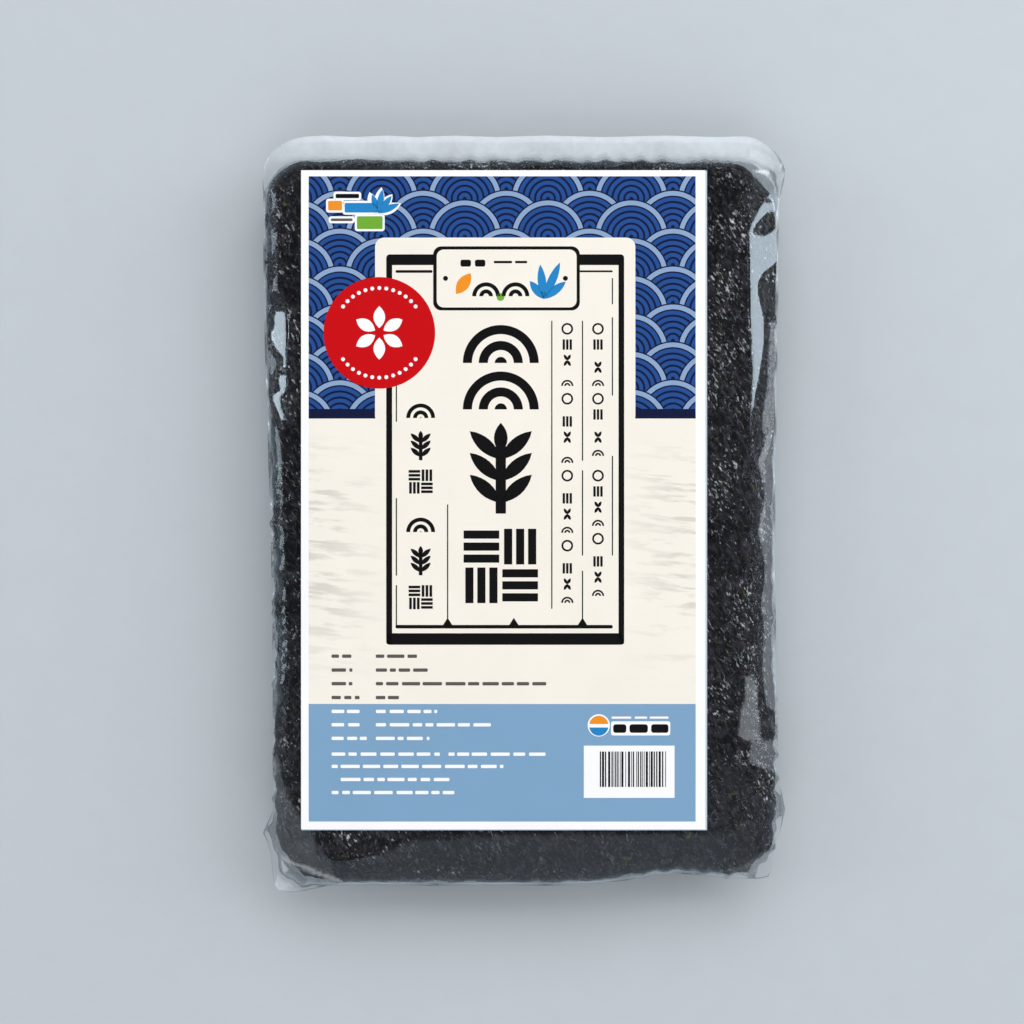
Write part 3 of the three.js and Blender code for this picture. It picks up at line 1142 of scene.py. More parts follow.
@dataclass(frozen=True)
class LabelPrint:
    """The label's print: a white border round fields of waves, cream and light blue, by height."""

    field_x: float = -0.4
    field_y: float = 0.3
    field_half_x: float = 72.5
    field_half_y: float = 120.9
    waves_low: float = 34.0
    band_low: float = 30.4
    cream_low: float = -76.5
    white: Colour = srgb(250, 250, 252)
    navy: Colour = srgb(14, 22, 58)
    blue: Colour = srgb(34, 76, 143)
    pale_ring: Colour = srgb(140, 165, 200)
    cream: Colour = srgb(245, 239, 228)
    wash: Colour = srgb(206, 201, 192)
    light_blue: Colour = srgb(126, 164, 197)
    darkest: float = 0.94
    grain_depth: float = 0.00002
    wash_sides: tuple[float, float] = (42, 66)
    wash_foot: tuple[float, float] = (-72, -40)
    wash_head: tuple[float, float] = (26, 8)

    def build(self, effects: Effects) -> bpy.types.Material:
        """Makes the material.

        Args:
            effects: The shared node groups.

        Returns:
            The material.
        """
        material, w, shader = new_finish("label_print")
        shift = (-LABEL_CENTRE[0] - SHIFT[0], -LABEL_CENTRE[1] - SHIFT[1], 0)
        split = w.node("SeparateXYZ")
        w.feed(split.inputs[0], w.place(scale=(1 / MM, 1 / MM, 1 / MM), shift=shift))
        x, y = split.outputs["X"], split.outputs["Y"]
        paper = w.group(effects.grain, Place=w.place())
        colour = w.mix(w.math("GREATER_THAN", y, self.cream_low), self.light_blue, self.cream_field(w, x, y))
        colour = w.mix(w.math("GREATER_THAN", y, self.band_low), colour, self.navy)
        colour = w.mix(w.math("GREATER_THAN", y, self.waves_low), colour, self.wave_field(w, x, y))
        across = w.math("ABSOLUTE", w.math("SUBTRACT", x, self.field_x))
        along = w.math("ABSOLUTE", w.math("SUBTRACT", y, self.field_y))
        inside = w.math(
            "MULTIPLY",
            w.math("LESS_THAN", across, self.field_half_x),
            w.math("LESS_THAN", along, self.field_half_y),
        )
        colour = w.mix(inside, self.white, colour)
        shade = w.span(paper.outputs["Shade"], 0.3, 0.7, self.darkest, 1.0)
        grey = w.node("CombineColor")
        for socket in grey.inputs:
            w.feed(socket, shade)
        tinted = w.node("Mix", data_type="RGBA", blend_type="MULTIPLY")
        tinted.inputs["Factor"].default_value = 1.0
        w.feed(tinted.inputs[6], colour)
        w.feed(tinted.inputs[7], grey.outputs[0])
        w.feed(shader.inputs["Base Color"], tinted.outputs[2])
        w.feed(shader.inputs["Roughness"], w.span(paper.outputs["Grain"], 0.3, 0.7, 0.48, 0.6))
        w.feed(shader.inputs["Normal"], w.bump(paper.outputs["Grain"], self.grain_depth))
        shader.inputs["Specular IOR Level"].default_value = 0.2
        return material

    def wave_field(self, w: Wiring, x: Socket, y: Socket) -> Socket:
        """Colours of the wave pattern: a pale ring inside a navy rim, then navy lines on blue.

        Args:
            w: The material's wiring.
            x: The way right of the label's middle, in millimetres.
            y: The way up from it.

        Returns:
            The colour.
        """
        fans = w.group(WavePrint().build(), X=x, Y=y)
        colour = w.mix(fans.outputs["Dark"], self.blue, self.navy)
        return w.mix(fans.outputs["Pale"], colour, self.pale_ring)

    def cream_field(self, w: Wiring, x: Socket, y: Socket) -> Socket:
        """Cream with a faint wash of grey strokes towards both sides.

        Args:
            w: The material's wiring.
            x: The way right of the label's middle, in millimetres.
            y: The way up from it.

        Returns:
            The colour.
        """
        sides = w.span(w.math("ABSOLUTE", x), *self.wash_sides)
        band = w.math("MULTIPLY", w.span(y, *self.wash_foot), w.span(y, *self.wash_head))
        strokes = w.noise(w.place(scale=(0.25, 1.6, 1.0), turn=0.08), 210, detail=3, rough=0.6)
        mark = w.span(strokes, 0.5, 0.62)
        share = w.math("MULTIPLY", w.math("MULTIPLY", sides, band), mark)
        return w.mix(w.math("MULTIPLY", share, 0.7), self.cream, self.wash)


# ---------------------------------------------------------------- the film


@dataclass
class FilmBag:
    """The clear film round the stack, creased, pleated and lying on the sheets in places."""

    form: PackForm
    points_round: int = 1000
    touch: float = -0.15
    bump_size: float = 1.7
    bump_depth: float = 0.1
    island_size: float = 4.5
    island_depth: float = 0.22
    contact_blend: float = 0.25
    creases: tuple[float, float] = (21.0, 8.0)
    crease_depth: float = 0.5
    fine_creases: tuple[float, float] = (7.0, 4.5)
    fine_crease_depth: float = 0.16
    patch_lift: float = 0.12
    patch_crease_depth: float = 0.12
    patch_fine_depth: float = 0.05
    wall_clear: float = 1.2
    wall_lift: float = 0.9
    face_lift_limit: float = 0.4
    looseness: Sides = Sides(right=-0.3, top=0.1, left=-0.1, bottom=0.45)
    face_gloss: Sides = Sides(right=0.5, top=0.45, left=0.65, bottom=1.0)
    wall_gloss: float = 0.3
    patches: tuple[Patch, ...] = (
        Patch(True, SIDE_SPAN),
        Patch(
            False,
            (
                (84.5, 22.0), (89.0, 53.0), (90.4, 72.0), (88.0, 84.0), (94.0, 93.0), (102.0, 97.0),
                (102.0, 38.0), (92.0, 30.0),
            ),
        ),
        Patch(
            True,
            (
                (95.0, 122.7), (92.6, 119.8), (89.0, 114.9), (85.0, 107.2), (83.9, 102.8), (83.9, 94.4),
                (83.9, 81.3), (84.6, 67.2), (85.9, 53.2), (85.3, 43.8), (84.8, 34.5), (84.0, 25.5),
                (85.5, 34.5), (86.9, 43.8), (88.9, 53.4), (90.3, 62.8), (90.4, 72.2), (89.2, 77.8),
                (88.0, 82.4), (88.0, 86.2), (90.2, 90.1), (94.3, 93.2), (97.5, 96.6), (99.0, 104.0),
                (99.0, 110.0), (98.5, 117.0), (96.0, 121.5),
            ),
        ),
        Patch(
            False,
            (
                (85.9, 105.5), (87.2, 107.9), (89.9, 111.0), (92.4, 113.3), (95.0, 113.2), (97.2, 110.8),
                (97.4, 109.4), (94.2, 106.9), (90.6, 104.2), (87.0, 104.3),
            ),
        ),
        Patch(
            True,
            (
                (-93.3, 76.0), (-89.5, 75.6), (-88.2, 72.2), (-88.2, 65.6), (-88.9, 60.0), (-89.2, 53.4),
                (-90.8, 52.0), (-90.6, 58.1), (-93.6, 61.9), (-95.5, 64.7), (-95.7, 67.5), (-94.1, 70.3),
                (-94.6, 73.1),
            ),
        ),
        Patch(
            True,
            (
                (-92.2, 51.5), (-88.9, 51.5), (-88.4, 48.7), (-89.9, 44.9), (-91.7, 43.1), (-91.4, 39.3),
                (-89.1, 34.6), (-91.4, 34.6), (-93.6, 39.3), (-95.1, 42.1), (-94.6, 44.0), (-91.7, 45.9),
                (-92.7, 48.7),
            ),
        ),
        Patch(
            False,
            (
                (-78.8, -116.0), (-78.6, -121.5), (-75.7, -128.4), (-71.9, -131.2), (-66.3, -131.2),
                (-60.7, -130.2), (-52.1, -128.4), (-49.1, -126.2), (-42.0, -119.8), (-13.1, -118.9),
                (-10.0, -115.0),
            ),
        ),
        Patch(
            False,
            (
                (83.0, -94.4), (88.0, -96.0), (94.5, -97.9), (96.5, -103.0), (94.5, -108.4), (93.0, -109.0),
                (89.2, -106.2), (85.1, -100.8),
            ),
        ),
        Patch(False, ((78.4, -85.7), (83.0, -85.7), (83.1, -91.4), (82.1, -93.7), (80.3, -90.4))),
    )
    patch_gloss: float = 1.7
    contact_gloss: float = 0.35
    corner_clear: float = 0.55
    veil_above: tuple[float, float] = (16.2, 23.0)
    # On the top the seam's milkiness is mostly painted light: it brightens the fin where it lies over shade.
    seam_veil: Sides = Sides(right=0.05, top=0.6, left=0.02, bottom=0.06)
    # Milky parts of the film. The strong, thin ones on the upper right ear and along the crease at the lower
    # left are painted highlights; those along the top edge and by the upper right corner are partly painted
    # light over film that lies in shade.
    veils: tuple[MilkAndLight, ...] = (
        MilkAndLight(0.16, SIDE_SPAN),
        MilkAndLight(
            0.12,
            ((76.0, -134.5), (84.0, -132.0), (92.0, -127.0), (95.0, -133.0), (88.0, -139.0), (78.0, -138.0)),
        ),
        MilkAndLight(0.36, ((95.2, 121.0), (95.5, 96.0), (97.0, 88.0), (102.0, 90.0), (102.0, 122.0))),
        MilkAndLight(
            0.14,
            ((85.4, -86.0), (97.5, -86.0), (97.5, -98.5), (94.5, -97.5), (88.0, -95.6), (84.2, -94.0)),
        ),
        MilkAndLight(
            0.18,
            (
                (82.8, -62.0), (85.5, -61.2), (87.4, -65.0), (87.8, -70.8), (88.5, -78.4), (89.3, -86.0),
                (82.8, -85.7), (80.2, -83.7), (81.0, -75.0), (82.5, -70.6),
            ),
        ),
        MilkAndLight(0.03, FOOT_SPAN),
        MilkAndLight(0.1, CORNER_SPAN),
        MilkAndLight(0.3, ((-92.8, -129.0), (-91.5, -130.8), (-70.0, -140.0), (-64.0, -142.5), (-70.0, -137.8))),
        MilkAndLight(0.4, ((-92.0, -131.0), (-88.5, -134.5), (-91.0, -139.0), (-86.0, -142.0), (-97.0, -147.0))),
        MilkAndLight(0.2, ((-91.0, -139.0), (-86.0, -141.0), (-66.0, -143.0), (-72.0, -147.0), (-97.0, -147.0))),
        MilkAndLight(0.7, ((85.4, 137.9), (86.8, 138.4), (98.9, 132.2), (98.3, 130.6))),
        MilkAndLight(0.3, ((79.0, 137.0), (87.7, 134.9), (95.4, 129.1), (95.6, 122.9), (89.6, 128.3), (85.0, 132.2))),
        MilkAndLight(0.75, ((86.2, 128.1), (90.8, 129.4), (93.4, 128.6), (92.3, 127.0))),
        MilkAndLight(0.72, ((94.4, 126.0), (99.6, 129.8), (99.0, 127.4), (95.8, 121.6))),
        MilkAndLight(0.1, ((-92.0, 131.0), (20.0, 132.5), (84.0, 131.0), (84.0, 136.0), (-92.0, 136.0))),
        MilkAndLight(0.4, ((-90.0, 136.2), (80.0, 136.2), (86.0, 139.0), (80.0, 141.0), (-84.0, 141.0))),
    )

    def veil_at(self, rings: np.ndarray) -> np.ndarray:
        """How milky the film is made: folded film, painted highlights on creases and painted light over film
        in shade.

        Args:
            rings: The film's rings.

        Returns:
            The strength of the milky parts at each point, 0 to 1.
        """
        milk_and_light_share = np.zeros(rings.shape[:2])
        for veil in self.veils:
            inside = Patch(True, veil.corners).inside(rings[..., 0], rings[..., 1])
            milk_and_light_share = np.maximum(milk_and_light_share, veil.strength * smoothstep(inside, -0.4, 0.4))
        return milk_and_light_share

    def smooth_rings(self, line: Outline) -> tuple[np.ndarray, np.ndarray, np.ndarray]:
        """The bag without its creases.

        Args:
            line: The outline that it follows.

        Returns:
            The rings, and for each ring whether it belongs to the face and how far it is free to crease.
        """
        form = self.form
        rings, face, free = [], [], []

        def add(ring: np.ndarray, on_face: bool, freedom: float) -> None:
            """Adds a ring.

            Args:
                ring: Its points.
                on_face: Whether it belongs to the face.
                freedom: How far it is free to crease, 0 to 1.
            """
            rings.append(ring)
            face.append(on_face)
            free.append(freedom)

        for past in (80.0, 60.0, 44.0, 34.0, *np.arange(27.0, -0.1, -1.0)):
            add(form.face_ring(line, past), True, 1)
        for turn in np.linspace(0, 1, 21)[1:]:
            add(form.face_ring(line, 0, turn), True, 1)
        for share in np.linspace(0, 1, 11)[1:]:
            add(form.wall_ring(line, share, True), False, 1 - 0.7 * share)
        for share, side in ((0.35, 1), (0.7, 1), (1, 1), (1, -1), (0.7, -1), (0.35, -1), (0, -1)):
            add(form.seam_ring(line, share, side), False, 0.0)
        for share in np.linspace(1, 0, 9)[1:-1]:
            add(form.wall_ring(line, share, False), False, 1 - 0.7 * share)
        for turn in np.linspace(1, 0, 7):
            add(form.back_ring(line, 0, turn), False, turn)
        for past in (2, 4, 6, 9, 12, 16, 20, 26, 34, 44, 60, 80):
            add(form.back_ring(line, past), False, 0.0)
        return np.array(rings), np.array(face), np.array(free)

    def build(self, finish: bpy.types.Material) -> None:
        """Makes the film's piece.

        Args:
            finish: Its material.
        """
        line = self.form.outline(self.points_round)
        rings, face, free = self.smooth_rings(line)
        normals = ring_normals(rings)
        length = line.run[-1] + line.run[1]
        travel = ring_travel(rings)
        u = np.broadcast_to(line.run, rings.shape[:2])
        v = np.broadcast_to(travel[:, None], rings.shape[:2])
        broad = CreaseField(length, travel[-1], *self.creases, seed=11).at(u, v)
        fine = CreaseField(length, travel[-1], *self.fine_creases, seed=12).at(u, v)
        loose = self.looseness.at(line.nx, line.ny)[None, :]
        lift = loose + self.crease_depth * broad + self.fine_crease_depth * fine
        bumps = self.touch + self.bump_depth * noise_at(rings, self.bump_size)
        islands = self.touch + self.island_depth * noise_at(rings, self.island_size, seed=4.2)
        clear = (lift - islands) / self.contact_blend
        gloss = np.where(face[:, None], self.face_gloss.at(line.nx, line.ny), self.wall_gloss)
        for patch in self.patches:
            inside = patch.inside(rings[..., 0], rings[..., 1])
            near = smoothstep(inside, -3.0, -1.5)
            if patch.free:
                clear = clear * (1 - near) + inside * near
            else:
                clear = np.minimum(clear, -inside)
            calm = self.patch_lift + self.patch_crease_depth * broad + self.patch_fine_depth * fine
            lift = lift * (1 - near) + calm * near
            within = smoothstep(inside, -0.5, 0.5)
            gloss = gloss * (1 - within) + (self.patch_gloss if patch.free else self.contact_gloss) * within
        clear = np.where(face[:, None], clear, self.wall_clear)
        apart = smoothstep(clear, -0.4, 0.4)
        push = bumps * (1 - apart) + np.maximum(bumps, lift) * apart
        push = np.where(face[:, None], push, np.maximum(self.touch, lift * self.wall_lift))
        label_share = self.outside_label(rings)
        push = np.where(face[:, None], np.minimum(push, self.face_lift_limit) * label_share, push)
        push = push * free[:, None]
        moved = rings + normals * push[..., None]
        corner = 2 * np.abs(line.nx * line.ny)
        seam = self.seam_veil.at(line.nx, line.ny) * (1 - self.corner_clear * corner)
        fin = (free == 0)[:, None]
        rising = np.where(fin, 1, smoothstep(rings[..., 2], *self.veil_above))
        # Milky parts, painted highlights and painted light among them, on the fin and on the film above the
        # seam.
        veil = np.maximum(self.veil_at(rings) * rising, seam * fin)
        upper = np.arange(len(rings)) < np.argmax(rings[..., 2].mean(axis=1) < self.form.seam_height)
        shown = np.clip(0.5 + clear / 2.4, 0, 1)
        bm = ring_skin(moved, clear=shown, gloss=gloss, veil=veil * upper[:, None])
        add_piece(finish_mesh(bm, "film"), finish, "film_bag")

    def outside_label(self, rings: np.ndarray) -> np.ndarray:
        """0 under the label, where it holds the film flat, and 1 outside it."""
        return smoothstep(past_label(rings[..., 0], rings[..., 1]), -1.0, 2.0)


# ---------------------------------------------------------------- the sheets


@dataclass(frozen=True)
class Flake:
    """A single flake of seaweed on the face: its middle, length, width, turn in degrees and tone."""

    x: float
    y: float
    length: float
    width: float
    turn: float
    tone: float = 0.96


@dataclass
class NoriStack:
    """The stack of dried seaweed sheets, with the loose strands of the outer ones."""

    form: PackForm
    gap: float = 0.95
    wall_gap: float = 0.45
    strand_gap: float = 0.65
    # Under these patches the painted glints are dimmed, down to dullest of their strength.
    dull: tuple[Patch, ...] = tuple(Patch(True, span) for span in (FOOT_SPAN, SIDE_SPAN, CORNER_SPAN))
    dullest: float = 0.25
    worn_reach: float = 22.0
    worn_corners: tuple[tuple[float, float, float, float], ...] = (
        (96.0, 134.0, 13.0, 5.5),
        (-96.0, -142.0, 14.0, 4.8),
        (96.0, -138.0, 10.0, 2.5),
    )
    worn_side: tuple[float, float, float, float] = (-76.0, 30.0, 9.0, 4.6)
    worn_above: tuple[float, float] = (17.0, 23.0)
    tatter_size: float = 7.0
    tatter: float = 0.8
    flake_rise: float = 0.4
    flakes: tuple[Flake, ...] = (
        Flake(92.3, 111.5, 3.4, 0.9, -80),
        Flake(86.7, 9.4, 2.8, 2.4, 30),
        Flake(81.4, -3.0, 1.8, 1.2, -20),
        Flake(82.4, -30.1, 3.4, 1.0, -75),
        Flake(88.0, -43.5, 2.6, 1.2, -60, 0.99),
        Flake(89.9, -67.1, 4.6, 1.4, -80, 0.99),
        Flake(78.6, -105.7, 3.8, 1.7, 5),
        Flake(61.6, -122.1, 3.4, 2.8, 20),
        Flake(77.6, -121.3, 2.0, 1.6, 0),
        Flake(39.0, -130.8, 3.6, 2.6, 10),
        Flake(64.5, -131.1, 3.2, 1.6, 0, 0.99),
        Flake(81.4, -131.9, 4.0, 2.0, 15, 0.99),
        Flake(90.2, -131.6, 3.4, 2.6, 40),
        Flake(84.6, -134.6, 4.2, 2.0, -20),
        Flake(78.0, -135.0, 3.2, 1.6, 10, 0.99),
        Flake(93.2, -129.0, 3.4, 2.2, 70),
        Flake(-87.4, -129.8, 3.4, 1.7, 0),
        Flake(-91.5, 122.0, 3.6, 1.8, -50, 0.99),
        Flake(-93.0, 126.0, 3.0, 1.8, 30),
        Flake(-87.0, 130.5, 3.4, 1.6, 20, 0.99),
        Flake(-79.0, 131.2, 2.8, 1.4, -10, 0.99),
        Flake(-90.0, 115.3, 3.2, 1.8, -40),
    )
    sheet_count: int = 50
    sheet_thickness: float = 0.34
    raggedness: float = 0.5
    deepest_tear: float = 2.2
    shift: float = 0.25
    wave: float = 0.16
    greyest: float = 0.92
    fine_points: int = 720
    rough_points: int = 240

    def worn_back(self, rings: np.ndarray, line: Outline) -> np.ndarray:
        """Draws rings in where the sheets are worn back: at corners, along one side and in tatters.

        Args:
            rings: Rings of a sheet, or of the whole stack.
            line: The outline that they follow.

        Returns:
            The rings drawn in.
        """
        low, high, fade, depth = self.worn_side
        side = smoothstep(line.y, low - fade, low + fade) * (1 - smoothstep(line.y, high - fade, high + fade))
        back = depth * side * np.maximum(0, line.nx) * smoothstep(rings[..., 2], *self.worn_above)
        for x, y, reach, deep in self.worn_corners:
            back = back + deep * np.exp(-(((line.x - x) ** 2 + (line.y - y) ** 2) / reach**2))
        edge = np.stack([line.x, line.y, 0 * line.x], 1)
        back = back + self.tatter * (noise_at(edge, self.tatter_size, 3.3) + noise_at(edge, 2.6, 6.1))
        inside = np.hypot(rings[..., 0] - line.x, rings[..., 1] - line.y)
        share = back * (1 - smoothstep(inside, 0, self.worn_reach))
        return rings - np.stack([line.nx, line.ny, 0 * line.nx], 1) * share[..., None]

    def envelope(self, line: Outline) -> np.ndarray:
        """The stack's outer surface, which carries the loose strands.

        Args:
            line: The outline that it follows.

        Returns:
            Rings from inside the face's margin over the wall to the back.
        """
        form = self.form
        rings = [form.face_ring(line, past) for past in (30, 24, 18, 12, 6, 0)]
        rings += [form.face_ring(line, 0, turn) for turn in (0.2, 0.4, 0.6, 0.8, 1.0)]
        edge = form.face_ring(line, 0, 1)
        foot = form.back_ring(line, 0, 1)
        rings += [edge + (foot - edge) * share for share in (0.25, 0.5, 0.75, 1.0)]
        rings += [form.back_ring(line, 0, turn) for turn in (0.75, 0.5, 0.25, 0.0)]
        rings += [form.back_ring(line, past) for past in (6, 14, 24, 36, 50, 66, 84)]
        whole = self.worn_back(np.array(rings), line)
        normals = ring_normals(whole)
        flat = np.abs(normals[..., 2:])
        return whole - normals * (self.gap * flat + self.strand_gap * (1 - flat))

    def sheet_rings(self, line: Outline, share: float, pasts: tuple, turns: tuple) -> np.ndarray:
        """Rings of one sheet, from its middle to its edge.

        Args:
            line: The outline that it follows.
            share: Its place in the stack, from 0 at the back to 1 at the face.
            pasts: The way in of each ring of its flat part.
            turns: Place of each ring of its rounded edge, 0 to 1.

        Returns:
            The rings, inside the film by the stack's gap.
        """
        spots = [(past, 0.0) for past in pasts] + [(0.0, turn) for turn in turns]
        over = np.array([self.form.face_ring(line, past, turn) for past, turn in spots])
        under = np.array([self.form.back_ring(line, past, turn) for past, turn in spots])
        over[..., 2] -= self.gap
        under[..., 2] += self.gap
        rings = under + (over - under) * share
        outward = np.stack([line.nx, line.ny, 0 * line.nx], 1)
        out = self.form.wall_bulge * (1 - abs(2 * share - 1)) - self.wall_gap
        rings += out * outward[None] * smoothstep(np.linspace(0, 1, len(spots)), 0.5, 1)[:, None, None]
        return self.worn_back(rings, line)

    def outer_sheet(self, name: str, share: float, side: int, finish: bpy.types.Material) -> None:
        """Makes one of the two outer sheets, with its relief.

        Args:
            name: The piece's name.
            share: Its place in the stack, from 0 at the back to 1 at the face.
            side: 1 for the sheet at the face, -1 for the one at the back.
            finish: Its material.
        """
        line = self.form.outline(self.fine_points)
        pasts = (84, 70, 58, 48, 40, 34, 30, *np.arange(27.0, -0.1, -1.5))
        turns = tuple(np.linspace(0, 1, 8)[1:])
        rings = self.sheet_rings(line, share, pasts, turns)
        relief = 0.32 * np.abs(noise_at(rings * [1, 0.6, 1], 2.1, seed=3.1 * side))
        relief += 0.2 * noise_at(rings, 0.9, seed=7.7)
        outer = rings.copy()
        outer[..., 2] += side * (relief - 0.25)
        inner = rings.copy()
        inner[..., 2] -= side * 0.55
        skin = np.concatenate([outer, inner[::-1]])
        # The outer sheet's painted glints are dimmed under loose film.
        bm = ring_skin(skin, tone=np.zeros(skin.shape[:2]), shine=self.shine_at(skin[..., 0], skin[..., 1]))
        add_piece(finish_mesh(bm, name), finish, "film_bag")

    def inner_sheets(self, finish: bpy.types.Material) -> None:
        """Makes the sheets between the two outer ones, wavy and with ragged edges.

        Args:
            finish: Their material.
        """
        line = self.form.outline(self.rough_points)
        rng = np.random.default_rng(5)
        whole = bmesh.new()
        for index in range(1, self.sheet_count - 1):
            share = index / (self.sheet_count - 1)
            rings = self.sheet_rings(line, share, (14.0, 3.0), (0.5, 1.0))
            ragged = self.raggedness * noise_at(rings[-1] * [1, 1, 0], 5.0, seed=index * 1.37)
            ragged += rng.normal(0, 0.3, len(line.x)) - 0.2
            outward = np.stack([line.nx, line.ny, 0 * line.nx], 1)
            rings[-1] += outward * np.clip(ragged, -self.deepest_tear, 0.0)[:, None]
            rings[..., :2] += np.clip(rng.normal(0, self.shift, 2), -self.shift, self.shift)
            rings[..., 2] += self.wave * noise_at(rings * [1, 1, 0], 9.0, seed=index * 2.11)
            thick = self.sheet_thickness * np.array([1.0, 0.9, 0.75, 0.5])[:, None]
            over, under = rings.copy(), rings.copy()
            over[..., 2] += thick / 2
            under[..., 2] -= thick / 2
            skin = np.concatenate([over, under[::-1]])
            tone = np.full(skin.shape[:2], rng.uniform(0, 1)) * self.greyest
            one = ring_skin(skin, tone=tone, shine=np.ones(skin.shape[:2]))
            mesh = bpy.data.meshes.new("sheet")
            one.to_mesh(mesh)
            one.free()
            whole.from_mesh(mesh)
            bpy.data.meshes.remove(mesh)
        add_piece(finish_mesh(whole, "nori_inner_sheets"), finish, "film_bag")

    def build(self, finish: bpy.types.Material) -> None:
        """Makes all of the stack.

        Args:
            finish: The seaweed's material.
        """
        self.outer_sheet("nori_face_sheet", 1.0, 1, finish)
        self.outer_sheet("nori_back_sheet", 0.0, -1, finish)
        self.inner_sheets(finish)
        surface = self.envelope(self.form.outline(300))
        strands = Strands(self.shine_at)
        outside = self.clear_of_label
        strands.build("nori_strands_face", strands.scatter(surface[:11], 9600, 21, outside, 0.7), finish)
        strands.build("nori_strands_sides", strands.scatter(surface[9:17], 6500, 22, None, 0.5), finish)
        strands.build("nori_strands_back", strands.scatter(surface[15:], 9600, 23, None, 1.0), finish)
        strands.build("nori_flakes", self.flake_batch(surface[:13]), finish)

    def clear_of_label(self, x: np.ndarray, y: np.ndarray) -> np.ndarray:
        """Whether places are seen outside the label."""
        return past_label(x, y) > -2.5

    def shine_at(self, x: np.ndarray, y: np.ndarray) -> np.ndarray:
        """How strongly the painted glints of the seaweed are shown at places: less under loose film."""
        inside = np.maximum.reduce([patch.inside(x, y) for patch in self.dull])
        return 1 - (1 - self.dullest) * smoothstep(inside, -0.5, 1.2)

    def flake_batch(self, surface: np.ndarray) -> "Batch":
        """Lays the single flakes on a surface.

        Args:
            surface: Rings of the surface. Each flake lies on its nearest point.

        Returns:
            The flakes.
        """
        spots = surface.reshape(-1, 3)
        outward = ring_normals(surface).reshape(-1, 3)
        table = np.array([(f.x, f.y, f.length, f.width, math.radians(f.turn), f.tone) for f in self.flakes])
        gaps = np.hypot(spots[:, 0] - table[:, :1], spots[:, 1] - table[:, 1:2])
        near = np.argmin(gaps, axis=1)
        place, normal = spots[near], outward[near]
        place[:, :2] = table[:, :2]
        flow = np.stack([np.cos(table[:, 4]), np.sin(table[:, 4]), 0 * table[:, 4]], 1)
        ahead = flow - normal * np.sum(normal * flow, axis=1, keepdims=True)
        ahead /= np.linalg.norm(ahead, axis=1, keepdims=True)
        rise = np.full(len(table), self.flake_rise)
        return Batch(place, normal, ahead, table[:, 2], table[:, 3], rise, table[:, 5])


@dataclass
class Batch:
    """Places, directions, sizes and tones of many strands."""

    place: np.ndarray
    normal: np.ndarray
    forward: np.ndarray
    length: np.ndarray
    width: np.ndarray
    rise: np.ndarray
    tone: np.ndarray


